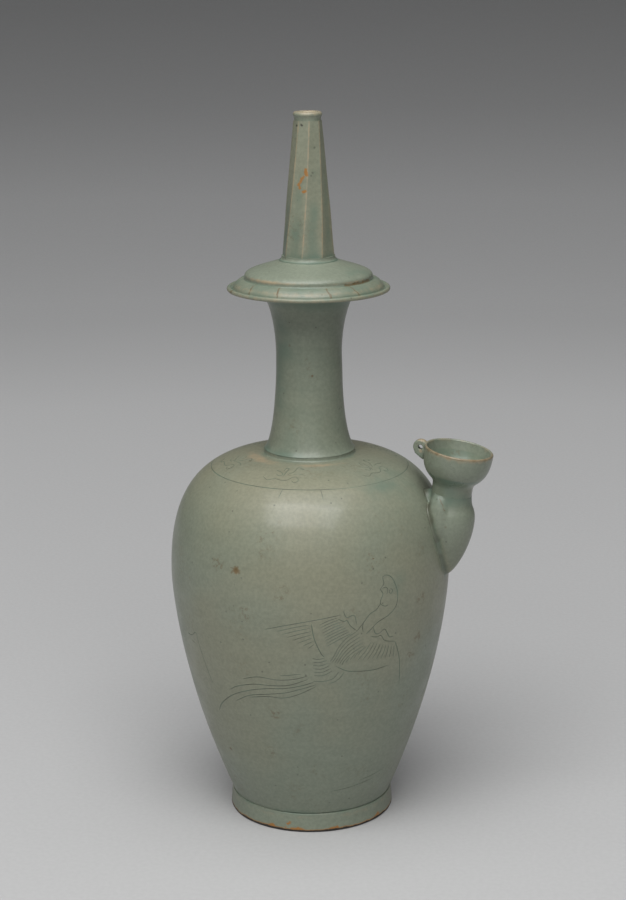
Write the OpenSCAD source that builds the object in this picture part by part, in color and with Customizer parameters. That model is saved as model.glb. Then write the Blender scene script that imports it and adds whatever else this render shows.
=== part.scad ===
// Kundika, a ritual water sprinkler of glazed stoneware.
// It is thrown and pulled in sections, which are luted together and fired as one vessel.
// Lengths are in millimetres. Z is up, the foot stands on Z = 0 and the filler spout points along +X.

/* [Foot] */
// Diameter of the foot ring at its base
foot_d = 85; // [81:0.5:90]
// Diameter of the foot ring at its top
foot_top_d = 83.4; // [80:0.2:88]
// Height of the foot ring
foot_h = 10; // [8:0.5:13]
// Width of the ring at its top, from its outside to its inside
foot_w = 8.2; // [6.2:0.2:11.2]
// Bevel on the edges of the foot ring
foot_bevel = 0.7; // [0.3:0.1:1.2]

/* [Body] */
// Diameter of the body where it meets the foot
base_d = 82.6; // [79:0.2:88]
// Greatest diameter of the body
body_d = 142.6; // [134:0.2:152]
// Height of the lower bowl, from the foot to the widest line
belly_h = 120; // [110:1:130]
// Height of the upper bowl, from the widest line to the neck
crown_h = 60; // [55:1:66]
// Thickness of the body's wall
body_wall = 5; // [4:0.25:6.5]
// Thickness of the body's floor
floor_t = 7; // [5:0.5:10]
// Lean of the wall at the base, from upright
base_slope = 23; // [19:0.5:27]
// How far the lower wall runs along that lean
base_pull = 64; // [50:1:74]
// How far the wall stays upright below the widest line
belly_pull = 14; // [8:1:24]
// How far the wall stays upright above the widest line
crown_pull = 39; // [30:1:44]
// How far the shoulder runs level from the neck
shoulder_pull = 33; // [26:1:38]
// Lean of the shoulder at the neck, from level
shoulder_slope = 2; // [0:0.5:6]
// Diameter of the ring scored round the shoulder
ring_d = 99.8; // [80:0.2:116]
// Radius of the scored ring's groove
ring_groove_r = 0.5; // [0.3:0.05:0.8]

/* [Neck] */
// Diameter of the collar under the neck
collar_d = 47.6; // [46:0.2:54]
// Height of the collar under the neck
collar_h = 2; // [1.5:0.1:3]
// Diameter of the neck at its foot
neck_base_d = 45.8; // [43:0.2:49]
// Diameter of the neck at its narrowest
neck_waist_d = 33; // [31:0.5:38]
// Diameter of the neck at its top
neck_top_d = 44.6; // [40:0.5:48]
// Height of the neck from the collar to its narrowest place
neck_waist_h = 48; // [40:1:56]
// Height of the neck from its narrowest place to the flange
neck_top_h = 29.5; // [24:0.5:36]
// Lean of the neck at its foot, from upright
neck_base_slope = 46; // [40:1:60]
// How far the neck's foot runs along that lean
neck_base_pull = 8; // [5:0.5:12]
// Lean of the neck at its top, from upright
neck_top_slope = 32; // [20:1:42]
// How far the neck's top runs along that lean
neck_top_pull = 8; // [5:0.5:11]
// How far the neck stays upright above and below its narrowest place
neck_waist_pull = 8; // [4:0.5:12]
// Diameter of the passage through the neck
neck_bore_d = 25; // [21:0.5:26]

/* [Flange and dome] */
// Diameter of the flange
flange_d = 81.4; // [75:0.2:90]
// Thickness of the flange where it sits on the neck
flange_t = 4; // [3.5:0.25:5]
// Height from the neck's top to the middle of the flange's rim
flange_rise = 3.9; // [3.4:0.1:5]
// Thickness of the flange's rim
rim_t = 2.4; // [1.8:0.1:3]
// Width of the groove inside the rim
rim_groove_w = 1.6; // [0.8:0.1:2]
// How far the flange's top rises steeply from that groove and runs level to the dome
band_pull = 2; // [1:0.1:2.4]
// Height from the neck's top to the seat of the dome
dome_seat_h = 8.9; // [7.5:0.1:10]
// Diameter of the dome
dome_d = 63.6; // [56:0.2:66]
// Height of the dome
dome_h = 8.9; // [8.5:0.1:13]
// Height of the dome's upright edge
dome_edge_h = 1.4; // [1:0.1:3]
// How far the dome's side stays upright above its edge
dome_pull = 2.8; // [2:0.2:4.4]
// Lean of the dome's top at the tube, from level
dome_top_slope = 18.4; // [12:0.2:24]
// How far the dome's top runs along that lean
dome_top_pull = 10.8; // [8:0.2:13]
// Thickness of the dome's wall
dome_wall = 4; // [3:0.25:5]
// Width of the dome's edge that bears on the flange
dome_seat_w = 5; // [4:0.25:6]
// Width of the step on the flange round the dome
dome_step_w = 0.8; // [0.5:0.1:2]

/* [Pouring tube] */
// Diameter of the ring at the tube's foot
tube_ring_d = 29.2; // [28:0.2:34]
// Height of the ring at the tube's foot
tube_ring_h = 2.5; // [2:0.1:4]
// Height of that ring's upright edge
ring_edge_h = 0.4; // [0.3:0.1:1]
// How far that ring's hollow face runs in from its edge and down from its top
ring_pull = 0.8; // [0.5:0.1:1.2]
// Number of flat sides of the tube
tube_sides = 8; // [6:1:10]
// Distance across the tube's corners at its foot
tube_base_d = 26.6; // [23:0.2:27]
// Distance across the tube's corners at its top
tube_top_d = 14.2; // [13:0.2:17]
// Height of the flat-sided part
tube_h = 65.8; // [55:0.2:80]
// Turn of the flat sides from foot to top
tube_turn = 20; // [0:1:30]
// Diameter of the passage at the tube's foot
tube_bore_base_d = 14; // [10:0.5:15]
// Diameter of the passage at the tube's top
tube_bore_top_d = 8.4; // [7:0.2:9]
// Height of the lip
lip_h = 4.4; // [3:0.2:6]
// Diameter of the lip
lip_d = 14.4; // [13:0.2:18]

/* [Filler spout] */
// Distance of the bulb's middle below the top of the shoulder
bulb_drop = 29.5; // [27:0.5:30]
// Distance of the bulb's middle outside the body's wall
bulb_standoff = 6; // [4.5:0.1:7]
// Greatest diameter of the bulb
bulb_d = 25; // [22:0.2:27]
// Height of the bulb above its widest place
bulb_top_h = 13; // [11:0.5:16]
// Depth of the bulb below its widest place
bulb_tail_h = 30; // [25:0.5:30]
// How far the bulb stays upright above its widest place
bulb_pull = 6.5; // [5:0.5:8]
// How far the waist stays upright below its joint
waist_pull = 8.7; // [6:0.1:10]
// How far the bulb stays upright below its widest place
tail_pull = 13; // [10:0.5:16]
// Lean of the bulb's wall at its tip, from upright
tip_slope = 76; // [66:1:84]
// How far the wall runs along that lean
tip_pull = 4.2; // [3:0.2:5.4]
// Outward lean of the bulb
bulb_tilt = 3; // [0:0.5:6]
// Thickness of the bulb's wall
bulb_wall = 2.8; // [2.4:0.1:3.2]
// Diameter of the waist between the bulb and the cup
waist_d = 20.4; // [18:0.2:22]
// Diameter of the passage through the waist
passage_d = 12; // [9:0.5:13]
// Diameter of the hole pierced through the body's wall
pierce_d = 9; // [7:0.5:10]
// Distance of that hole below the bulb's middle
pierce_drop = 9; // [7:0.5:11]
// Greatest diameter of the cup
cup_d = 35; // [31:0.2:38]
// Height of the cup from the waist to the rim
cup_h = 23; // [20:0.5:27]
// Height of the cup's stem above the waist
stem_h = 5.5; // [4:0.25:7]
// Lean of the cup's floor above its stem, from upright
bowl_slope = 45; // [38:1:52]
// How far the floor runs along that lean
bowl_pull = 5; // [3.5:0.25:7]
// Outward lean of the cup
cup_tilt = 9; // [5:0.5:12]
// Thickness of the cup's wall
cup_wall = 2.8; // [2:0.1:3.5]

/* [Lug] */
// Radius of the lug's round end
lug_r = 3.8; // [3:0.1:4]
// Width of the lug along its hole
lug_w = 3.6; // [3:0.2:6]
// Diameter of the lug's hole
lug_hole_d = 2.5; // [1.6:0.1:3]
// Distance of the hole outside the cup's rim
lug_reach = 1.7; // [1.5:0.1:3]
// Distance of the hole below the cup's rim
lug_drop = 3.2; // [2:0.1:4]
// Height of the lug's root on the cup
lug_root_h = 4; // [3:0.25:5]

/* [Joints] */
// Depth of the tongues and spigots that locate the sections
spigot_h = 4; // [3:0.5:4.5]
// Wall of the spigots
spigot_wall = 3; // [2.5:0.25:3.5]
// Room for slip round each tongue and spigot
slip_gap = 0.15; // [0.05:0.05:0.3]

/* [Hidden] */
$fn = 96;
// Straight runs in each curve of an outline
steps = 12;
// Reach of a cut past the face that it goes through
past = 1;
// Runs up the twisted tube
tube_runs = 12;
// Turn of the tube's first corner from the filler spout
tube_start = 90 / tube_sides;

// Heights of the joints between the sections
seam_z = foot_h + belly_h;
shoulder_z = seam_z + crown_h;
neck_z = shoulder_z + collar_h;
waist_z = neck_z + neck_waist_h;
flange_z = waist_z + neck_top_h;
chamber_z = flange_z + flange_t;
dome_z = flange_z + dome_seat_h;
ring_z = dome_z + dome_h;
tube_z = ring_z + tube_ring_h;
lip_z = tube_z + tube_h;

// Radii shared by the pieces that fit together
foot_in_r = foot_top_d / 2 - foot_w;
seam_r = body_d / 2 - body_wall / 2;
neck_bore_r = neck_bore_d / 2;
neck_spigot_r = neck_bore_r + spigot_wall;
chamber_r = dome_d / 2 - dome_seat_w;
tube_spigot_r = tube_bore_base_d / 2 + spigot_wall;
rebate_h = spigot_h / 2;

// A cubic curve through p[0] and p[3], and the same curve moved inward by w
function along(p, t) =
    pow(1 - t, 3) * p[0] + 3 * t * pow(1 - t, 2) * p[1] + 3 * t * t * (1 - t) * p[2] + pow(t, 3) * p[3];
function heading(p, t) =
    pow(1 - t, 2) * (p[1] - p[0]) + 2 * t * (1 - t) * (p[2] - p[1]) + t * t * (p[3] - p[2]);
function inward(p, t, w) = let (d = heading(p, t)) along(p, t) + w * [-d[1], d[0]] / norm(d);
function outer_points(p) = [for (i = [0 : steps]) along(p, i / steps)];
function inner_points(p, w) = [for (i = [0 : steps]) inward(p, i / steps, w)];
function lean(length, angle) = length * [sin(angle), cos(angle)];

// Outline curves of the body, as radius and height
lower_curve = [
    [base_d / 2, foot_h],
    [base_d / 2, foot_h] + lean(base_pull, base_slope),
    [body_d / 2, seam_z - belly_pull],
    [body_d / 2, seam_z]
];
upper_curve = [
    [body_d / 2, seam_z],
    [body_d / 2, seam_z + crown_pull],
    [collar_d / 2, shoulder_z] + lean(shoulder_pull, 90 + shoulder_slope),
    [collar_d / 2, shoulder_z]
];
upper_points = outer_points(upper_curve);

// Radius of the upper bowl at a height, and its height at a radius
function wall_r(z) = lookup(z, [for (p = upper_points) [p[1], p[0]]]);
function wall_z(r) = lookup(r, [for (i = [steps : -1 : 0]) [upper_points[i][0], upper_points[i][1]]]);

// Place of the bulb's middle and of the joint between the bulb and the cup
bulb_z = shoulder_z - bulb_drop;
bulb_x = wall_r(bulb_z) + bulb_standoff;
waist_x = bulb_x + bulb_top_h * sin(bulb_tilt);
waist_top_z = bulb_z + bulb_top_h * cos(bulb_tilt);

// Half outline of the bulb about its own axis, from the tip to the waist
function bulb_points(r, tail, waist_r) = concat(
    outer_points([[0, -tail], [0, -tail] + lean(tip_pull, tip_slope), [r, -tail_pull], [r, 0]]),
    outer_points([[r, 0], [r, bulb_pull], [waist_r, bulb_top_h - waist_pull], [waist_r, bulb_top_h]])
);

// Outline curve of the cup about its own axis, from the top of its stem to its rim
cup_curve = [
    [waist_d / 2, stem_h],
    [waist_d / 2, stem_h] + lean(bowl_pull, bowl_slope),
    [cup_d / 2, stem_h + bowl_pull],
    [cup_d / 2, cup_h - cup_wall / 2]
];

module at_bulb() {
    translate([bulb_x, 0, bulb_z]) rotate([0, bulb_tilt, 0]) children();
}

module at_cup() {
    translate([waist_x, 0, waist_top_z]) rotate([0, cup_tilt, 0]) children();
}

// Half outline of the upper bowl as a full shape
module crown_outline() {
    polygon(concat([[0, seam_z]], upper_points, [[0, shoulder_z]]));
}

// Half outline of the cup as a full shape, about the cup's own axis
module cup_outline() {
    rim_r = cup_wall / 2;
    polygon(concat([[0, 0], [waist_d / 2, 0]], outer_points(cup_curve), [[0, cup_h - rim_r]]));
    translate([cup_d / 2 - rim_r, cup_h - rim_r]) circle(r = rim_r);
}

// Round hole through the body's wall into the bulb
module pierced_hole() {
    hole_z = bulb_z - pierce_drop;
    translate([bulb_x, 0, hole_z]) rotate([0, -90, 0])
        cylinder(d = pierce_d, h = bulb_x - wall_r(hole_z) + 2 * body_wall);
}

// Foot ring, rebated for the floor of the body
module foot_ring() {
    color("darkseagreen") rotate_extrude() polygon([
        [foot_in_r + foot_bevel, 0],
        [foot_d / 2 - foot_bevel, 0],
        [foot_d / 2, foot_bevel],
        [foot_top_d / 2, foot_h - foot_bevel],
        [foot_top_d / 2 - foot_bevel, foot_h],
        [foot_in_r + spigot_wall + slip_gap, foot_h],
        [foot_in_r + spigot_wall + slip_gap, foot_h - rebate_h],
        [foot_in_r, foot_h - rebate_h],
        [foot_in_r, foot_bevel]
    ]);
}

// Lower bowl, whose floor drops into the foot and whose tongue stands into the upper bowl
module lower_body() {
    floor_z = foot_h + floor_t;
    inner_r = body_d / 2 - body_wall;
    color("seagreen") rotate_extrude() {
        difference() {
            polygon(concat([[0, foot_h]], outer_points(lower_curve), [[0, seam_z]]));
            intersection() {
                polygon(concat(
                    [[0, foot_h], [base_d / 2, foot_h]], inner_points(lower_curve, body_wall), [[0, seam_z]]
                ));
                translate([0, floor_z]) square([body_d, belly_h]);
            }
        }
        translate([0, foot_h - rebate_h]) square([foot_in_r + spigot_wall, rebate_h + past]);
        translate([inner_r, seam_z - past]) square([body_wall / 2 - slip_gap, spigot_h + past]);
    }
}

// Upper bowl with the neck hole, the pierced hole and the scored ring
module upper_body() {
    color("mediumseagreen") difference() {
        rotate_extrude() difference() {
            crown_outline();
            polygon(concat(
                [[0, seam_z]], inner_points(upper_curve, body_wall), [[0, shoulder_z - body_wall]]
            ));
            translate([0, seam_z - past]) square([seam_r, spigot_h + slip_gap + past]);
            translate([0, seam_z]) square([neck_spigot_r + slip_gap, crown_h + past]);
            translate([ring_d / 2, wall_z(ring_d / 2)]) circle(r = ring_groove_r);
        }
        pierced_hole();
    }
}

// Thin ring between the shoulder and the neck, with a rounded edge
module neck_collar() {
    edge_r = collar_h / 2;
    color("palegreen") rotate_extrude() {
        translate([neck_spigot_r + slip_gap, shoulder_z])
            square([collar_d / 2 - edge_r - neck_spigot_r - slip_gap, collar_h]);
        translate([collar_d / 2 - edge_r, shoulder_z + edge_r]) circle(r = edge_r);
    }
}

// Waisted neck with a spigot through the collar and a tongue into the flange
module neck() {
    foot_curve = [
        [neck_base_d / 2, neck_z],
        [neck_base_d / 2, neck_z] + lean(neck_base_pull, -neck_base_slope),
        [neck_waist_d / 2, waist_z - neck_waist_pull],
        [neck_waist_d / 2, waist_z]
    ];
    top_curve = [
        [neck_waist_d / 2, waist_z],
        [neck_waist_d / 2, waist_z + neck_waist_pull],
        [neck_top_d / 2, flange_z] - lean(neck_top_pull, neck_top_slope),
        [neck_top_d / 2, flange_z]
    ];
    color("seagreen") rotate_extrude() difference() {
        union() {
            polygon(concat(
                [[0, neck_z]], outer_points(foot_curve), outer_points(top_curve), [[0, flange_z]]
            ));
            translate([0, shoulder_z - body_wall]) square([neck_spigot_r, collar_h + body_wall + past]);
            translate([0, flange_z - past]) square([neck_spigot_r, flange_t - slip_gap + past]);
        }
        translate([0, shoulder_z - body_wall - past]) square([neck_bore_r, flange_z + flange_t]);
    }
}

// Saucer-like flange with a fine rim, a groove inside it, a rounded band and a level seat for the dome
module flange() {
    rim_r = rim_t / 2;
    rim_z = flange_z + flange_rise;
    rim_x = flange_d / 2 - rim_r;
    groove_x = rim_x - rim_groove_w;
    groove_z = rim_z + rim_r / 2;
    seat_r = dome_d / 2 + dome_step_w;
    band = [
        [groove_x, groove_z],
        [groove_x, groove_z + band_pull],
        [seat_r + band_pull, dome_z],
        [seat_r, dome_z]
    ];
    color("darkseagreen") rotate_extrude() difference() {
        union() {
            polygon(concat(
                [[0, flange_z], [neck_top_d / 2, flange_z], [rim_x, rim_z - rim_r], [rim_x, rim_z]],
                outer_points(band),
                [[0, dome_z]]
            ));
            translate([rim_x, rim_z]) circle(r = rim_r);
        }
        translate([0, flange_z - past]) square([neck_spigot_r + slip_gap, dome_seat_h]);
        translate([0, chamber_z]) square([chamber_r, dome_seat_h]);
    }
}

// Stepped dome with a spigot into the flange and a hole for the tube
module dome() {
    curve = [
        [dome_d / 2, dome_z + dome_edge_h],
        [dome_d / 2, dome_z + dome_edge_h + dome_pull],
        [tube_ring_d / 2, ring_z] + lean(dome_top_pull, 90 + dome_top_slope),
        [tube_ring_d / 2, ring_z]
    ];
    spigot_r = chamber_r - slip_gap;
    color("mediumseagreen") rotate_extrude() difference() {
        union() {
            polygon(concat([[0, dome_z], [dome_d / 2, dome_z]], outer_points(curve), [[0, ring_z]]));
            translate([0, dome_z - spigot_h]) square([spigot_r, spigot_h + past]);
        }
        polygon([
            [0, dome_z - spigot_h - past],
            [spigot_r - spigot_wall, dome_z - spigot_h - past],
            [spigot_r - spigot_wall, dome_z + dome_edge_h],
            [tube_spigot_r, ring_z - dome_wall],
            [0, ring_z - dome_wall]
        ]);
        translate([0, dome_z]) square([tube_spigot_r + slip_gap, dome_h + past]);
    }
}

// Small hollow-faced ring at the foot of the tube
module tube_collar() {
    curve = [
        [tube_ring_d / 2, ring_z + ring_edge_h],
        [tube_ring_d / 2 - ring_pull, ring_z + ring_edge_h],
        [tube_base_d / 2, tube_z - ring_pull],
        [tube_base_d / 2, tube_z]
    ];
    bore_r = tube_spigot_r + slip_gap;
    color("palegreen") rotate_extrude()
        polygon(concat(
            [[bore_r, ring_z], [tube_ring_d / 2, ring_z]], outer_points(curve), [[bore_r, tube_z]]
        ));
}

// Flat-sided tapering tube, turned a little as it rises, with a tapering round passage
module tube() {
    low_z = ring_z - dome_wall;
    taper = tube_top_d / tube_base_d;
    color("seagreen") difference() {
        union() {
            translate([0, 0, low_z]) cylinder(r = tube_spigot_r, h = dome_wall + tube_ring_h + past);
            translate([0, 0, tube_z]) rotate([0, 0, tube_start])
                linear_extrude(
                    tube_h, twist = -tube_turn, scale = taper, slices = tube_runs, $fn = tube_sides
                )
                    circle(d = tube_base_d, $fn = tube_sides);
        }
        translate([0, 0, low_z - past])
            cylinder(d1 = tube_bore_base_d, d2 = tube_bore_top_d, h = lip_z - low_z + 2 * past);
    }
}

// Rolled lip at the tube's mouth
module tube_lip() {
    bore_r = tube_bore_top_d / 2;
    roll_r = (lip_d / 2 - bore_r) / 2;
    neck_r = tube_top_d / 2 * cos(180 / tube_sides);
    color("palegreen") rotate_extrude() difference() {
        union() {
            translate([bore_r, lip_z]) square([neck_r - bore_r, lip_h - roll_r]);
            translate([bore_r + roll_r, lip_z + lip_h - roll_r]) circle(r = roll_r);
        }
        square([bore_r, lip_z + lip_h]);
    }
}

// Drop-shaped bulb, open to the cup above and to the body behind
module filler_bulb() {
    stub_h = waist_d / 4;
    inner_r = bulb_d / 2 - bulb_wall;
    inner_tail = bulb_tail_h - 2 * bulb_wall;
    color("darkseagreen") difference() {
        at_bulb() rotate_extrude() {
            polygon(concat(bulb_points(bulb_d / 2, bulb_tail_h, waist_d / 2), [[0, bulb_top_h]]));
            translate([0, bulb_top_h - past]) square([waist_d / 2, stub_h]);
        }
        at_bulb() rotate_extrude() {
            polygon(concat(bulb_points(inner_r, inner_tail, passage_d / 2), [[0, bulb_top_h]]));
            translate([0, bulb_top_h - past]) square([passage_d / 2, stub_h + past]);
        }
        at_cup() translate([-cup_d, -cup_d, 0]) cube([2 * cup_d, 2 * cup_d, cup_h]);
        rotate_extrude() crown_outline();
        pierced_hole();
    }
}

// Cup with a rounded rim and a passage down through its stem
module filler_cup() {
    rim_r = cup_wall / 2;
    floor_h = stem_h + cup_wall;
    color("mediumseagreen") at_cup() rotate_extrude() difference() {
        cup_outline();
        intersection() {
            polygon(concat([[0, 0]], inner_points(cup_curve, cup_wall), [[0, cup_h - rim_r]]));
            translate([0, floor_h]) square([cup_d, cup_h]);
        }
        translate([0, cup_h - rim_r]) square([cup_d / 2 - cup_wall, cup_wall]);
        translate([0, -past]) square([passage_d / 2, cup_h]);
    }
}

// Round-ended lug with a hole across it, shaped to the cup's wall
module cup_lug() {
    hole_x = cup_d / 2 + lug_reach;
    hole_z = cup_h - lug_drop;
    color("palegreen") at_cup() difference() {
        union() {
            translate([-hole_x, 0, hole_z]) rotate([90, 0, 0]) cylinder(r = lug_r, h = lug_w, center = true);
            translate([-hole_x, -lug_w / 2, hole_z - lug_r])
                cube([lug_reach + cup_wall / 2, lug_w, lug_root_h]);
        }
        translate([-hole_x, 0, hole_z]) rotate([90, 0, 0])
            cylinder(d = lug_hole_d, h = lug_w + 2 * past, center = true);
        rotate_extrude() cup_outline();
    }
}

foot_ring();
lower_body();
upper_body();
neck_collar();
neck();
flange();
dome();
tube_collar();
tube();
tube_lip();
filler_bulb();
filler_cup();
cup_lug();
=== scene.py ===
"""Kundika of celadon-glazed stoneware: a Blender add-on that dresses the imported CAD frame.

Each operator models one section of the vessel with Blender's own tools, at the place of the CAD node
that it stands for. Lengths are in metres. The foot stands on Z = 0 and the filler spout points along +X.
"""

import math
from types import SimpleNamespace

import bmesh
import bpy
from bpy.props import FloatProperty, FloatVectorProperty, IntProperty, PointerProperty
from mathutils import Matrix, Vector


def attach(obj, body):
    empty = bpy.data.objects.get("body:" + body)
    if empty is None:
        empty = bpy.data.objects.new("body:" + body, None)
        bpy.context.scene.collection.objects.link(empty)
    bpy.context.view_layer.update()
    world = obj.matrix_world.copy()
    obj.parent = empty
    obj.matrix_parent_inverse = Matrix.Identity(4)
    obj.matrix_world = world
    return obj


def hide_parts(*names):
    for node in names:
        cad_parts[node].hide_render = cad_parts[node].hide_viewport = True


bl_info = {
    "name": "Kundika",
    "version": (1, 0, 0),
    "blender": (4, 5, 0),
    "location": "View3D > Sidebar > Kundika",
    "description": "Models a celadon water sprinkler over its CAD frame",
    "category": "Object",
}

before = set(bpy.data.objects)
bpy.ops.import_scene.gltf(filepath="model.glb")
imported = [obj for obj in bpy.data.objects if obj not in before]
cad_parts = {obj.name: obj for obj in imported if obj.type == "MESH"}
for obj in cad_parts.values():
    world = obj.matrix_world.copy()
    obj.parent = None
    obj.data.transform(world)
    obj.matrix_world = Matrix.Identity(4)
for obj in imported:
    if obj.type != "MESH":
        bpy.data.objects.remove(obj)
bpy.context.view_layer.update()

MM = 0.001
FULL_TURN = 2 * math.pi
# Runs in each curve of an outline, in the body's curves and in each rounded corner
CURVE_RUNS = 28
WALL_RUNS = 60
CORNER_RUNS = 5
# Runs round each section
ROUND_RUNS = {
    "foot": 192, "body": 256, "neck_collar": 160, "neck": 144, "flange": 192, "dome": 192,
    "tube_collar": 128, "lip": 96, "bulb": 112, "cup": 144, "lug": 64, "paper": 96,
}
# Wavers of each section: depth and span in millimetres, and the share of the depth that goes inwards
WAVERS = {
    "foot": (0.3, 30, 1.0),
    "body": (0.36, 45, 1.0),
    "neck_collar": (0.2, 20, 1.0),
    "neck": (0.5, 28, 0.6),
    "flange": (0.25, 25, 1.0),
    "dome": (0.35, 25, 0.6),
    "tube_collar": (0.2, 15, 1.0),
    "tube": (0.25, 14, 0.6),
    "lip": (0.25, 9, 1.0),
    "cup": (0.25, 16, 1.0),
}
# Points nearer than this are one point
WELD = 0.002 * MM
# Overlap of a piece with the one that it is luted to
LUTE = 0.3 * MM
# Shares of smoothing below this are left out
LEAST_SHARE = 0.01
# Edges sharper than this stay crisp
CRISP = math.radians(38)
# Direction of the photograph's camera round the vessel, from -Y towards +X
VIEW_TURN = 17
# Turn of the tube's first corner from the filler spout
TUBE_START = math.radians(3.25)


# Properties

def length(name, description, millimetres):
    """A length property whose default is given in millimetres."""
    return FloatProperty(
        name=name, description=description, default=millimetres * MM, min=0.0, precision=4,
        subtype="DISTANCE", unit="LENGTH",
    )


def slope(name, description, degrees):
    """An angle property whose default is given in degrees."""
    return FloatProperty(
        name=name, description=description, default=math.radians(degrees), subtype="ANGLE", unit="ROTATION"
    )


def tint(name, description, red, green, blue):
    """A colour property."""
    return FloatVectorProperty(
        name=name, description=description, default=(red, green, blue), min=0.0, max=1.0, size=3,
        subtype="COLOR",
    )


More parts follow.
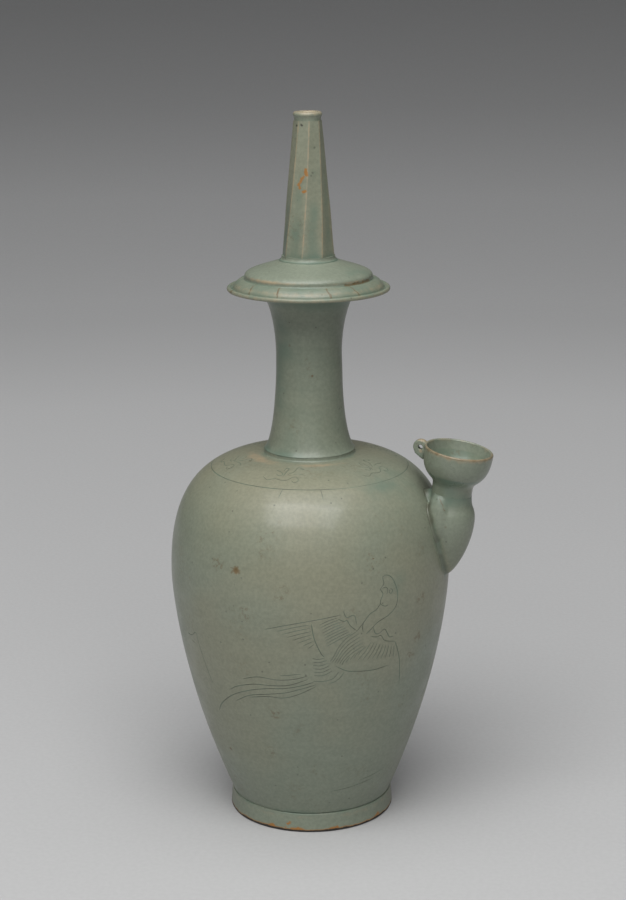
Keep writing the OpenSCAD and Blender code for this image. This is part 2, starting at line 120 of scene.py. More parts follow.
class KundikaSizes(bpy.types.PropertyGroup):
    """Sizes of the vessel's sections"""

    foot_d: length("Foot", "Diameter of the foot ring at its base", 85)
    foot_top_d: length("Foot top", "Diameter of the foot ring at its top", 83.4)
    foot_h: length("Foot height", "Height of the foot ring", 10)
    foot_w: length("Foot width", "Width of the foot ring at its top", 8.2)
    base_d: length("Base", "Diameter of the body where it meets the foot", 82.6)
    body_d: length("Body", "Greatest diameter of the body", 142.6)
    belly_h: length("Belly height", "Height from the foot to the widest line", 120)
    crown_h: length("Crown height", "Height from the widest line to the neck", 60)
    body_wall: length("Body wall", "Thickness of the body's wall", 5)
    floor_t: length("Floor", "Thickness of the body's floor", 7)
    base_slope: slope("Base slope", "Lean of the wall at the base, from upright", 23)
    base_pull: length("Base pull", "How far the lower wall runs along that lean", 64)
    belly_pull: length("Belly pull", "How far the wall stays upright below the widest line", 14)
    crown_pull: length("Crown pull", "How far the wall stays upright above the widest line", 39)
    shoulder_pull: length("Shoulder pull", "How far the shoulder runs level from the neck", 33)
    shoulder_slope: slope("Shoulder slope", "Lean of the shoulder at the neck, from level", 2)
    collar_d: length("Collar", "Diameter of the collar under the neck", 47.6)
    collar_h: length("Collar height", "Height of the collar under the neck", 2)
    neck_base_d: length("Neck foot", "Diameter of the neck at its foot", 45.8)
    neck_waist_d: length("Neck waist", "Diameter of the neck at its narrowest", 33)
    neck_top_d: length("Neck top", "Diameter of the neck at its top", 44.6)
    neck_waist_h: length("Neck rise", "Height from the collar to the neck's narrowest place", 48)
    neck_top_h: length("Neck flare", "Height from the neck's narrowest place to the flange", 29.5)
    neck_base_slope: slope("Neck foot slope", "Lean of the neck at its foot, from upright", 46)
    neck_top_slope: slope("Neck top slope", "Lean of the neck at its top, from upright", 32)
    neck_pull: length("Neck pull", "How far the neck's curves run straight at each end", 8)
    neck_bore_d: length("Neck bore", "Diameter of the passage through the neck", 25)
    flange_d: length("Flange", "Diameter of the flange", 81.4)
    flange_t: length("Flange thickness", "Thickness of the flange where it sits on the neck", 4)
    flange_rise: length("Flange rise", "Height from the neck's top to the middle of the rim", 3.9)
    rim_t: length("Rim", "Thickness of the flange's rim", 2.4)
    rim_groove_w: length("Rim groove", "Width of the groove inside the rim", 1.6)
    band_pull: length("Flange band", "How far the flange's top rises steeply and then runs level", 2)
    dome_seat_h: length("Dome seat", "Height from the neck's top to the seat of the dome", 8.9)
    dome_d: length("Dome", "Diameter of the dome", 63.6)
    dome_h: length("Dome height", "Height of the dome", 8.9)
    dome_edge_h: length("Dome edge", "Height of the dome's upright edge", 1.4)
    dome_pull: length("Dome pull", "How far the dome's side stays upright above its edge", 2.8)
    dome_top_slope: slope("Dome top slope", "Lean of the dome's top at the tube, from level", 18.4)
    dome_top_pull: length("Dome top pull", "How far the dome's top runs along that lean", 10.8)
    dome_wall: length("Dome wall", "Thickness of the dome's wall", 4)
    dome_seat_w: length("Dome bearing", "Width of the dome's edge that bears on the flange", 5)
    dome_step_w: length("Dome step", "Width of the step on the flange round the dome", 0.8)
    tube_ring_d: length("Tube ring", "Diameter of the ring at the tube's foot", 29.2)
    tube_ring_h: length("Tube ring height", "Height of the ring at the tube's foot", 2.5)
    ring_edge_h: length("Tube ring edge", "Height of that ring's upright edge", 0.4)
    ring_pull: length("Tube ring hollow", "How far that ring's hollow face runs in and down", 0.8)
    tube_sides: IntProperty(
        name="Tube sides", description="Number of flat sides of the tube", default=8, min=5,
    )
    tube_base_d: length("Tube foot", "Distance across the tube's corners at its foot", 26.6)
    tube_top_d: length("Tube top", "Distance across the tube's corners at its top", 14.2)
    tube_h: length("Tube height", "Height of the flat-sided part", 65.8)
    tube_turn: slope("Tube turn", "Turn of the flat sides from foot to top", 20)
    tube_bore_base_d: length("Tube bore", "Diameter of the passage at the tube's foot", 14)
    tube_bore_top_d: length("Tube mouth", "Diameter of the passage at the tube's top", 8.4)
    lip_h: length("Lip height", "Height of the lip", 4.4)
    lip_d: length("Lip", "Diameter of the lip", 14.4)
    bulb_drop: length("Bulb drop", "Distance of the bulb's middle below the top of the shoulder", 29.5)
    bulb_standoff: length("Bulb standoff", "Distance of the bulb's middle outside the body's wall", 6)
    bulb_d: length("Bulb", "Greatest diameter of the bulb", 25)
    bulb_top_h: length("Bulb top", "Height of the bulb above its widest place", 13)
    bulb_tail_h: length("Bulb tail", "Depth of the bulb below its widest place", 30)
    bulb_pull: length("Bulb pull", "How far the bulb stays upright above its widest place", 6.5)
    waist_pull: length("Waist pull", "How far the waist stays upright below its joint", 8.7)
    tail_pull: length("Tail pull", "How far the bulb stays upright below its widest place", 13)
    tip_slope: slope("Tip slope", "Lean of the bulb's wall at its tip, from upright", 76)
    tip_pull: length("Tip pull", "How far the wall runs along that lean", 4.2)
    bulb_tilt: slope("Bulb tilt", "Outward lean of the bulb", 3)
    bulb_wall: length("Bulb wall", "Thickness of the bulb's wall", 2.8)
    waist_d: length("Waist", "Diameter of the waist between the bulb and the cup", 20.4)
    passage_d: length("Waist passage", "Diameter of the passage through the waist", 12)
    pierce_d: length("Pierced hole", "Diameter of the hole through the body's wall", 9)
    pierce_drop: length("Pierced hole drop", "Distance of that hole below the bulb's middle", 9)
    cup_d: length("Cup", "Greatest diameter of the cup", 35)
    cup_h: length("Cup height", "Height of the cup from the waist to the rim", 23)
    stem_h: length("Cup stem", "Height of the cup's stem above the waist", 5.5)
    bowl_slope: slope("Cup floor slope", "Lean of the cup's floor above its stem, from upright", 45)
    bowl_pull: length("Cup floor pull", "How far the floor runs along that lean", 5)
    cup_tilt: slope("Cup tilt", "Outward lean of the cup", 9)
    cup_wall: length("Cup wall", "Thickness of the cup's wall", 2.8)
    cup_rim: length("Cup rim", "Thickness of the cup's wall at its rim", 1.7)
    bowl_depth: length("Cup depth", "Depth of the cup's inside below its rim", 12.5)
    lug_r: length("Lug", "Radius of the lug's round end", 3.8)
    lug_w: length("Lug width", "Width of the lug along its hole", 3.6)
    lug_hole_d: length("Lug hole", "Diameter of the lug's hole", 2.5)
    lug_reach: length("Lug reach", "Distance of the hole outside the cup's rim", 1.7)
    lug_drop: length("Lug drop", "Distance of the hole below the cup's rim", 3.2)
    spigot_wall: length("Spigot wall", "Wall of the hidden spigots", 3)
    spigot_h: length("Spigot depth", "Depth of the hidden spigots", 4)
    slip_gap: length("Slip gap", "Room for slip round each spigot", 0.15)
    ring_d: length("Scored ring", "Diameter of the ring scored round the shoulder", 99.8)
    line_w: length("Incised line", "Width of an incised line", 0.38)


class KundikaColours(bpy.types.PropertyGroup):
    """Colours of the glaze, the clay and the studio"""

    glaze: tint("Glaze", "Grey-green of the glaze", 0.24, 0.24, 0.168)
    glaze_cool: tint("Cool glaze", "Bluer green where the kiln cooled slowly", 0.206, 0.234, 0.177)
    pooled: tint("Pooled glaze", "Blue-green of thick glaze in hollows", 0.13, 0.186, 0.14)
    thin: tint("Thin glaze", "Tan where the glaze runs thin over edges", 0.39, 0.3, 0.19)
    line: tint("Line glaze", "Dark glaze in the incised lines", 0.1, 0.108, 0.078)
    iron: tint("Iron spots", "Brown of iron specks in the clay", 0.13, 0.085, 0.035)
    rust: tint("Rust marks", "Orange of iron that bled through the glaze", 0.33, 0.15, 0.035)
    # Painted shade along the bulb's joint and in the crotch under the cup, in the olive of glaze pooled
    # there
    shade: tint("Joint shade", "Olive glaze that ran into the joint of the bulb", 0.1, 0.105, 0.072)
    # Near-black drawn along the foot's bottom edge, and in dark specks on the tube
    near_black: tint("Dark clay", "Dark edge on which the foot was fired", 0.035, 0.03, 0.024)
    paper: tint("Paper", "Pale grey of the studio paper beside the vessel", 0.62, 0.62, 0.62)


# Outlines

def lean(run, angle):
    """Radius and height gained by a run at an angle from upright."""
    return Vector((run * math.sin(angle), run * math.cos(angle)))


def along(curve, t):
    """Point of a cubic curve."""
    a, b, c, d = curve
    return (1 - t) ** 3 * a + 3 * t * (1 - t) ** 2 * b + 3 * t * t * (1 - t) * c + t ** 3 * d


def heading(curve, t):
    """Direction of a cubic curve."""
    a, b, c, d = curve
    return ((1 - t) ** 2 * (b - a) + 2 * t * (1 - t) * (c - b) + t * t * (d - c)).normalized()


def curve_points(curve, runs=CURVE_RUNS, wall=0.0):
    """Points of a cubic curve, or of its inner side at the thickness of a wall."""
    points = []
    for i in range(runs + 1):
        way = heading(curve, i / runs)
        points.append(along(curve, i / runs) + wall * Vector((-way.y, way.x)))
    return points


def arc_points(centre, radius, start, end, runs=10):
    """Points of a round arc between two angles, in degrees from outward."""
    points = []
    for i in range(runs + 1):
        angle = math.radians(start + (end - start) * i / runs)
        points.append(centre + radius * Vector((math.cos(angle), math.sin(angle))))
    return points


def corner(before, point, after, size):
    """Points that round a corner off, with its size along both sides."""
    start = point + size * (before - point).normalized()
    end = point + size * (after - point).normalized()
    points = []
    for i in range(CORNER_RUNS + 1):
        t = i / CORNER_RUNS
        points.append((1 - t) ** 2 * start + 2 * t * (1 - t) * point + t * t * end)
    return points


def spot(radius, height):
    """A point of an outline."""
    return Vector((radius, height))


def stepped(points, longest):
    """An outline with more points on each straight run that is longer than a length."""
    finer = [points[0]]
    for a, b in zip(points, points[1:]):
        count = max(1, math.ceil((b - a).length / longest))
        finer += [a.lerp(b, k / count) for k in range(1, count + 1)]
    return finer


def levels(s):
    """Heights, radii and curves that several sections share."""
    v = SimpleNamespace()
    v.seam = s.foot_h + s.belly_h
    v.shoulder = v.seam + s.crown_h
    v.neck = v.shoulder + s.collar_h
    v.waist = v.neck + s.neck_waist_h
    v.flange = v.waist + s.neck_top_h
    v.chamber = v.flange + s.flange_t
    v.dome = v.flange + s.dome_seat_h
    v.ring = v.dome + s.dome_h
    v.tube = v.ring + s.tube_ring_h
    v.lip = v.tube + s.tube_h
    v.foot_in = s.foot_top_d / 2 - s.foot_w
    v.floor_spigot = v.foot_in + s.spigot_wall
    v.rebate = s.foot_h - s.spigot_h / 2
    v.neck_spigot = s.neck_bore_d / 2 + s.spigot_wall
    v.chamber_r = s.dome_d / 2 - s.dome_seat_w
    v.tube_spigot = s.tube_bore_base_d / 2 + s.spigot_wall
    base = spot(s.base_d / 2, s.foot_h)
    widest = spot(s.body_d / 2, v.seam)
    top = spot(s.collar_d / 2, v.shoulder)
    level_run = lean(s.shoulder_pull, math.pi / 2 + s.shoulder_slope)
    v.lower_curve = (base, base + lean(s.base_pull, s.base_slope), widest - spot(0, s.belly_pull), widest)
    v.upper_curve = (widest, widest + spot(0, s.crown_pull), top + level_run, top)
    v.wall = curve_points(v.lower_curve, WALL_RUNS) + curve_points(v.upper_curve, WALL_RUNS)[1:]
    v.bulb_z = v.shoulder - s.bulb_drop
    v.bulb_x = wall_radius(v.wall, v.bulb_z) + s.bulb_standoff
    v.bulb = Vector((v.bulb_x, 0, v.bulb_z))
    v.joint = v.bulb + s.bulb_top_h * Vector((math.sin(s.bulb_tilt), 0, math.cos(s.bulb_tilt)))
    return v


def section(context):
    """Sizes, colours and levels that a section is modelled from."""
    s = context.scene.kundika_sizes
    return s, context.scene.kundika_colours, levels(s)


def wall_radius(wall, height):
    """Radius of the body at a height."""
    for a, b in zip(wall, wall[1:]):
        if a.y <= height <= b.y:
            return a.x + (b.x - a.x) * (height - a.y) / (b.y - a.y)
    return wall[0].x if height < wall[0].y else wall[-1].x


def wall_height(wall, radius):
    """Height of the shoulder at a radius."""
    for a, b in zip(reversed(wall), reversed(wall[:-1])):
        if a.x <= radius <= b.x:
            return a.y + (b.y - a.y) * (radius - a.x) / (b.x - a.x)
    raise ValueError(f"the shoulder has no radius of {radius}")


# Modelling tools

def deselect():
    bpy.ops.object.select_all(action="DESELECT")


def activate(piece):
    """Makes a piece the only one selected."""
    deselect()
    piece.select_set(True)
    bpy.context.view_layer.objects.active = piece


def edit(piece, pick="SELECT"):
    """Opens a piece in edit mode, all or none of it selected."""
    activate(piece)
    bpy.ops.object.mode_set(mode="EDIT")
    bpy.ops.mesh.select_mode(type="VERT")
    bpy.ops.mesh.select_all(action=pick)


def close_edit():
    bpy.ops.object.mode_set(mode="OBJECT")


def weld(piece):
    """Merges doubled points and points the faces outwards."""
    edit(piece)
    bpy.ops.mesh.remove_doubles(threshold=WELD)
    bpy.ops.mesh.normals_make_consistent(inside=False)
    close_edit()


def spin(name, outline, section_name, closed=True):
    """Draws an outline from one vertex and spins it round the Z axis."""
    deselect()
    bpy.ops.mesh.primitive_plane_add(size=MM)
    piece = bpy.context.object
    piece.name = name
    piece.data.name = name
    edit(piece)
    bpy.ops.mesh.merge(type="CENTER")
    points = [Vector((p.x, 0, p.y)) for p in outline]
    if closed:
        points.append(points[0])
    bpy.ops.transform.translate(value=points[0])
    for a, b in zip(points, points[1:]):
        bpy.ops.mesh.extrude_vertices_move(TRANSFORM_OT_translate={"value": b - a})
    bpy.ops.mesh.select_all(action="SELECT")
    bpy.ops.mesh.remove_doubles(threshold=WELD)
    bpy.ops.mesh.spin(
        steps=ROUND_RUNS[section_name], angle=FULL_TURN, center=(0, 0, 0), axis=(0, 0, 1)
    )
    close_edit()
    weld(piece)
    return piece


def apply_modifier(piece, modifier):
    activate(piece)
    bpy.ops.object.modifier_apply(modifier=modifier.name)


def hand_work(piece, waver):
    """Lets a thrown surface waver by a little, as from the potter's hand."""
    depth, span, inwards = WAVERS[waver]
    texture = bpy.data.textures.new(piece.name + "_waver", "CLOUDS")
    texture.noise_scale = span * MM
    texture.noise_depth = 1
    modifier = piece.modifiers.new("waver", "DISPLACE")
    modifier.texture = texture
    modifier.texture_coords = "LOCAL"
    modifier.strength = depth * MM
    modifier.mid_level = inwards
    apply_modifier(piece, modifier)


def thrown(name, outline, section_name, closed=True):
    """A section spun from its outline, with the wavers of the potter's hand."""
    piece = spin(name, outline, section_name, closed)
    hand_work(piece, section_name)
    return piece


def carve(piece, tool, operation="DIFFERENCE", face_index=0):
    """Cuts one closed mesh from a piece, or joins it to the piece, and removes the tool.

    The cut faces take one of the piece's materials.
    """
    coat(tool, piece.data.materials, face_index)
    modifier = piece.modifiers.new("carve", "BOOLEAN")
    modifier.operation = operation
    modifier.solver = "MANIFOLD"
    modifier.object = tool
    apply_modifier(piece, modifier)
    bpy.data.objects.remove(tool)


def soften(piece, grain, rounds):
    """Works the joints of a small piece together, as wet clay is smoothed with a finger."""
    remesh = piece.modifiers.new("work", "REMESH")
    remesh.mode = "VOXEL"
    remesh.voxel_size = grain
    apply_modifier(piece, remesh)
    smooth = piece.modifiers.new("smooth", "SMOOTH")
    smooth.iterations = rounds
    apply_modifier(piece, smooth)


def blend(piece, rule, rounds):
    """Smooths a piece by a rule on each place, as a joint is worked over with a wet finger."""
    group = piece.vertex_groups.new(name="joint")
    for p in piece.data.vertices:
        share = rule(p.co)
        if share > LEAST_SHARE:
            group.add([p.index], share, "REPLACE")
    smooth = piece.modifiers.new("blend", "SMOOTH")
    smooth.iterations = rounds
    smooth.vertex_group = group.name
    apply_modifier(piece, smooth)
    piece.vertex_groups.clear()


def leaning(place, tilt):
    """The move to a place with a tilt towards +X."""
    return Matrix.Translation(place) @ Matrix.Rotation(tilt, 4, "Y")


def lean_over(piece, place, tilt):
    """Tilts a piece towards +X and moves it, and settles both into its mesh."""
    activate(piece)
    piece.matrix_world = leaning(place, tilt)
    bpy.ops.object.transform_apply(location=True, rotation=True, scale=False)


def settled(size, place):
    """The primitive that was just added, drawn out to a size and moved to a place."""
    piece = bpy.context.object
    piece.scale = size
    piece.location = place
    bpy.ops.object.transform_apply(location=True, rotation=True, scale=True)
    return piece


def paint(piece, name, rule):
    """Stores a value from 0 to 1 at each vertex, by a rule on its place."""
    values = [min(1.0, max(0.0, rule(v.co))) for v in piece.data.vertices]
    attribute = piece.data.attributes.new(name, "FLOAT", "POINT")
    attribute.data.foreach_set("value", values)


def fade(distance, width):
    """1 at no distance, falling smoothly to 0 over about two widths."""
    return math.exp(-(distance / width) ** 2)


def facing(co, degrees):
    """Angle in degrees between a place's direction round the axis and a direction from the view."""
    turn = math.degrees(math.atan2(co.x, -co.y)) - VIEW_TURN - degrees
    return abs((turn + 180) % 360 - 180)


def nowhere(co):
    return 0.0


def bluer(co):
    return 0.8


def less_blue(co):
    return 0.35


def paint_glaze(piece, pool, thin=nowhere, cool=bluer):
    """Paints where the glaze is thick, where it is thin and where it is bluer."""
    paint(piece, "pool", pool)
    paint(piece, "thin", thin)
    paint(piece, "cool", cool)


def coat(piece, materials, face_index=0):
    """Gives a piece its materials, and all its faces one of them."""
    for material in materials:
        piece.data.materials.append(material)
    for face in piece.data.polygons:
        face.material_index = face_index


def dress(piece, nodes):
    """Sets a finished piece in the frame."""
    activate(piece)
    bpy.ops.object.shade_smooth_by_angle(angle=CRISP)
    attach(piece, "root")
    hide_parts(*nodes)
    deselect()


# Materials

# Share of light that the glaze mirrors, where 0.5 is that of plain glass
SHINE = 0.45
# Marks wider than this are broken up into flecks
STAIN = 3.1 * MM
# Share of a mark's reach within which it is full
MARK_CORE = 0.35
# Range that noise covers, apart from its rare ends
NOISE_RANGE = (0.3, 0.7)


class Glaze:
    """Adds nodes to one material and joins them up."""

    def __init__(self, name):
        self.material = bpy.data.materials.new(name)
        self.material.use_nodes = True
        self.tree = self.material.node_tree
        self.tree.nodes.clear()
        self.output = self.add("ShaderNodeOutputMaterial")
        self.place = self.add("ShaderNodeTexCoord").outputs["Object"]

    def add(self, kind, settings=None, **inputs):
        """A node with its settings, and its inputs set or linked by name."""
        made = self.tree.nodes.new(kind)
        for key, value in (settings or {}).items():
            setattr(made, key, value)
        for key, value in inputs.items():
            self.join(made.inputs[key.replace("_", " ")], value)
        return made

    def join(self, socket, value):
        if isinstance(value, bpy.types.NodeSocket):
            self.tree.links.new(value, socket)
        else:
            socket.default_value = value

    def noise(self, scale, detail=3.0, roughness=0.5, place=None):
        """Grey noise at so many waves to the metre."""
        made = self.add("ShaderNodeTexNoise", Scale=scale, Detail=detail, Roughness=roughness)
        self.join(made.inputs["Vector"], place or self.place)
        return made.outputs["Fac"]

    def stretched(self, across, up):
        """Object coordinates drawn out, for marks that follow the wheel."""
        made = self.add("ShaderNodeMapping", Vector=self.place, Scale=(across, across, up))
        return made.outputs["Vector"]

    def span(self, value, low, high, new_low=0.0, new_high=1.0):
        """A value rescaled from one range to another, smoothly at its ends."""
        made = self.add("ShaderNodeMapRange", {"interpolation_type": "SMOOTHSTEP"}, Value=value)
        limits = {"From Min": low, "From Max": high, "To Min": new_low, "To Max": new_high}
        for key, number in limits.items():
            made.inputs[key].default_value = number
        return made.outputs["Result"]

    def math(self, operation, first, second):
        made = self.add("ShaderNodeMath", {"operation": operation})
        self.join(made.inputs[0], first)
        self.join(made.inputs[1], second)
        return made.outputs["Value"]

    def mix(self, share, first, second, blend="MIX"):
        """A colour between two, by a share that varies over the surface."""
        made = self.add("ShaderNodeMix", {"data_type": "RGBA", "blend_type": blend})
        self.join(made.inputs["Factor"], share)
        for key, value in (("A", first), ("B", second)):
            socket = next(i for i in made.inputs if i.name == key and i.type == "RGBA")
            self.join(socket, value if isinstance(value, bpy.types.NodeSocket) else (*value, 1.0))
        return next(o for o in made.outputs if o.type == "RGBA")

    def painted(self, name):
        return self.add("ShaderNodeAttribute", {"attribute_name": name}).outputs["Fac"]

    def vector(self, operation, first, second):
        made = self.add("ShaderNodeVectorMath", {"operation": operation})
        self.join(made.inputs[0], first)
        self.join(made.inputs[1], second)
        return made.outputs["Value" if operation in ("DISTANCE", "DOT_PRODUCT") else "Vector"]

    def near(self, point, radius, place):
        """1 close to a point and 0 beyond a radius."""
        return self.span(self.vector("DISTANCE", place, point), radius, radius * MARK_CORE)

    def near_line(self, start, end, radius, place):
        """1 close to a straight line and 0 beyond a radius."""
        run = end - start
        begun = self.vector("SUBTRACT", place, start)
        share = self.vector("DOT_PRODUCT", begun, run / run.length_squared)
        held = self.math("MINIMUM", self.math("MAXIMUM", share, 0.0), 1.0)
        reached = self.vector("MULTIPLY", held, run)
        return self.span(self.vector("DISTANCE", begun, reached), radius, radius * MARK_CORE)

    def towards(self, direction):
        """How far a place lies in a direction."""
        return self.vector("DOT_PRODUCT", self.place, direction)

    def warped(self, reach, scale):
        """Object coordinates pushed about by noise, for ragged edges."""
        push = self.add("ShaderNodeTexNoise", Vector=self.place, Scale=scale, Detail=4.0)
        centred = self.vector("SUBTRACT", push.outputs["Color"], (0.5, 0.5, 0.5))
        return self.vector("ADD", self.place, self.vector("MULTIPLY", centred, (reach, reach, reach)))

    def uneven(self, low, high, scale, detail=3.0, roughness=0.5, place=None):
        """A value that drifts between two by noise."""
        return self.span(self.noise(scale, detail, roughness, place), *NOISE_RANGE, low, high)

    def tinged(self, colour, value):
        """A colour made lighter or darker by a value."""
        tone = self.add("ShaderNodeCombineColor", Red=value, Green=value, Blue=value).outputs["Color"]
        return self.mix(1.0, colour, tone, "MULTIPLY")

    def marked(self, colour, mark, strength, mark_colour):
        """A colour with a mark of another laid over it."""
        return self.mix(self.math("MULTIPLY", mark, strength), colour, mark_colour)

    def shade(self, colour, roughness, bumps, coat=0.0, coat_roughness=0.1):
        """Ends the material in one shader, with bumps given as height, depth and strength."""
        normal = None
        for height, depth, strength in bumps:
            bump = self.add("ShaderNodeBump", Height=height, Distance=depth, Strength=strength)
            if normal is not None:
                self.join(bump.inputs["Normal"], normal)
            normal = bump.outputs["Normal"]
        shader = self.add("ShaderNodeBsdfPrincipled", Roughness=roughness)
        self.join(shader.inputs["Base Color"], colour)
        self.join(shader.inputs["Normal"], normal)
        shader.inputs["Specular IOR Level"].default_value = SHINE
        shader.inputs["Coat Weight"].default_value = coat
        shader.inputs["Coat Roughness"].default_value = coat_roughness
        self.join(self.output.inputs["Surface"], shader.outputs["BSDF"])
        return self.material


def glaze_colour(g, c, spots, strokes):
    """Colour of the glaze: kiln drift, wheel marks, mottling, pools, thin edges, specks, iron marks and
    painted shade.
    """
    cool = g.math("ADD", g.painted("cool"), g.span(g.noise(13.0, 2.0), 0.36, 0.64, -0.3, 0.3))
    colour = g.mix(g.span(cool, 0.0, 1.0), c.glaze, c.glaze_cool)
    colour = g.tinged(colour, g.uneven(0.97, 1.03, 26.0, 5.0, 0.65, g.stretched(1.0, 10.0)))
    colour = g.tinged(colour, g.uneven(0.91, 1.09, 620.0, 4.0, 0.65))
    pool = g.math("ADD", g.painted("pool"), g.uneven(-0.16, 0.16, 90.0))
    colour = g.mix(g.span(pool, 0.12, 0.95), colour, c.pooled)
    thin = g.math("ADD", g.painted("thin"), g.uneven(-0.15, 0.15, 300.0, 4.0))
    colour = g.mix(g.span(thin, 0.15, 0.95, 0.0, 0.85), colour, c.thin)
    rust_patch = g.span(g.noise(52.0, 2.0), 0.56, 0.7)
    rust_grain = g.span(g.noise(520.0, 4.0, 0.7), 0.5, 0.68)
    colour = g.marked(colour, g.math("MULTIPLY", rust_patch, rust_grain), 0.4, c.iron)
    cells = g.add("ShaderNodeTexVoronoi", Vector=g.place, Scale=230.0)
    speck = g.span(cells.outputs["Distance"], 0.15, 0.06)
    chosen = g.add("ShaderNodeSeparateColor", Color=cells.outputs["Color"]).outputs["Red"]
    speck = g.math("MULTIPLY", speck, g.span(chosen, 0.8, 0.85))
    colour = g.marked(colour, speck, 0.75, c.line)
    ragged = g.warped(2.2 * MM, 420.0)
    flecks = g.span(g.noise(480.0, 5.0, 0.7), 0.5, 0.58)
    for point, radius, strength, mark_colour in spots:
        mark = g.near(point, radius, ragged)
        if radius > STAIN:
            mark = g.math("MULTIPLY", mark, flecks)
        colour = g.marked(colour, mark, strength, mark_colour)
    for start, end, radius, strength, mark_colour in strokes:
        colour = g.marked(colour, g.near_line(start, end, radius, ragged), strength, mark_colour)
    return colour


def glaze_bumps(g):
    """Broad unevenness and fine orange peel of the glaze, with its depth and strength."""
    return (
        (g.noise(34.0, 2.0), 0.8 * MM, 0.6),
        (g.noise(420.0, 3.0), 0.06 * MM, 0.35),
    )


def celadon(name, c, spots=(), strokes=(), matt=(0.4, 0.54)):
    """Celadon glaze with spots at points, strokes along lines and a range of roughness."""
    g = Glaze(name)
    colour = glaze_colour(g, c, spots, strokes)
    return g.shade(colour, g.uneven(*matt, 70.0, 4.0), glaze_bumps(g), coat=0.24, coat_roughness=0.13)


def plain_celadon(c):
    """The glaze that the small sections share, made once."""
    return bpy.data.materials.get("celadon_glaze") or celadon("celadon_glaze", c)


def line_glaze(c):
    """Darker glaze that gathers in the incised lines."""
    g = Glaze("line_glaze")
    colour = g.mix(g.uneven(0.0, 1.0, 150.0), c.line, c.pooled)
    grain = (g.noise(900.0, 2.0), 0.04 * MM, 0.3)
    return g.shade(colour, g.uneven(0.4, 0.55, 300.0, 2.0), [grain])


def foot_glaze(c, chips):
    """Celadon down to a ragged edge, with orange clay in the chips and a dark line under the foot."""
    g = Glaze("foot_glaze")
    colour = glaze_colour(g, c, (), ())
    ragged = g.warped(4 * MM, 330.0)
    for start, end, radius in chips:
        colour = g.mix(g.near_line(start, end, radius, ragged), colour, c.rust)
    height = g.add("ShaderNodeSeparateXYZ", Vector=g.warped(1.6 * MM, 240.0)).outputs["Z"]
    colour = g.mix(g.span(height, 1.9 * MM, 1.45 * MM, 0.0, 0.8), colour, c.rust)
    # Near-black line along the foot's bottom edge
    colour = g.mix(g.span(height, 1.45 * MM, 1.1 * MM), colour, c.near_black)
    roughness = g.span(height, 1.0 * MM, 1.6 * MM, 0.85, 0.4)
    return g.shade(colour, roughness, glaze_bumps(g), coat=0.1, coat_roughness=0.16)


def spot_marks(c, table, place):
    """Round marks of a table, set on a surface by a rule on direction and height."""
    return [
        (place(turn, height), reach * MM, strength, getattr(c, colour))
        for turn, height, reach, strength, colour in table
    ]


def stroke_marks(table, place, colour):
    """Line marks of a table, set on a surface by a rule on direction and height."""
    return [
        (place(turn, height), place(last_turn, last_height), reach * MM, strength, colour)
        for turn, height, last_turn, last_height, reach, strength in table
    ]


def line_marks(points, reach, strength, colour):
    """Line marks that go from point to point."""
    return [(a, b, reach * MM, strength, colour) for a, b in zip(points, points[1:])]


# Ornament, incised before the glaze

# A flying bird: degrees round the body from the bird's middle, and heights in millimetres
BIRD_LINES = {
    "nape": [
        (29.5, 142.5), (31.5, 143), (34, 141), (36, 135.5), (36.5, 130.5), (35.5, 126), (32, 122.3),
        (27.5, 119.9), (24.1, 116.1), (22.5, 114.6),
    ],
    "face": [
        (29.5, 142.5), (30, 139), (28.5, 136.5), (29.5, 134), (28.5, 131), (28.5, 129), (30.5, 127.5),
        (32, 128),
    ],
    "eye": [(33, 136), (34, 135), (33.5, 133.5), (32.5, 134), (32.7, 135.5)],
    "beak": [(29.2, 136.8), (31, 137), (31.8, 135.5), (31.3, 133.5)],
    "throat": [(28.5, 129.5), (26.4, 126.4), (23.8, 124.8), (21, 120.6), (18.6, 116.8)],
    "breast": [(21.2, 121.1), (20.8, 118.5), (21.1, 115.9)],
    "near_wing_edge": [(-18.5, 118), (-9.5, 121), (0, 123.5), (7, 125), (11.5, 126)],
    "near_wing_scallop": [
        (12.9, 127.9), (13.3, 125.9), (14.3, 124.4), (16.5, 125.2), (17.6, 124.3), (18.2, 120.3),
    ],
    "near_wing_fold": [(10.7, 124), (13.1, 122.5), (14.3, 122.9), (15.8, 119.8), (18.6, 116.8)],
    "near_wing_divide": [(0.3, 122), (0.7, 117.8), (1.5, 113.5), (2.9, 109.2), (4.3, 105.7), (5.5, 104.2)],
    "far_wing_scallop": [
        (25.4, 117.7), (26.5, 114.3), (28.3, 113.7), (30.7, 115.5), (32.4, 112.5), (33.5, 110.6),
        (35.5, 110.6),
    ],
    "far_wing_fold": [(24.5, 112.9), (27.5, 112), (29.3, 112.4), (31.4, 109.2), (36.6, 107.5)],
    "far_wing_edge": [(36.5, 107.6), (38.1, 103.4), (40.6, 95), (42.6, 82.1)],
    "belly": [(10.4, 98.7), (14.7, 95.9), (18.7, 95), (27, 94.2), (34.3, 95.1)],
    "long_plume": [
        (-50, 65.5), (-45.5, 71.5), (-37, 78.5), (-28, 83), (-19.5, 85.5), (-11.5, 86.5), (-4, 88.5),
        (1, 90.5),
    ],
    "upper_plume": [(-38.5, 81), (-34, 84), (-25.5, 87), (-17.5, 87.5), (-9.5, 88.5), (-1.5, 92)],
    "top_plume": [(-30.5, 89), (-23, 91.5), (-14.5, 91), (-7, 92), (-1.5, 94)],
    "lower_plume": [(-36.5, 75), (-28.5, 80), (-21, 82), (-11.5, 84), (-4.5, 86.5), (2, 89)],
    "short_plume": [(-28.5, 79), (-19.5, 81), (-12.5, 81), (-5.5, 83.5), (2, 88)],
    "side_plume": [(-13, 93.5), (-4, 95)],
}
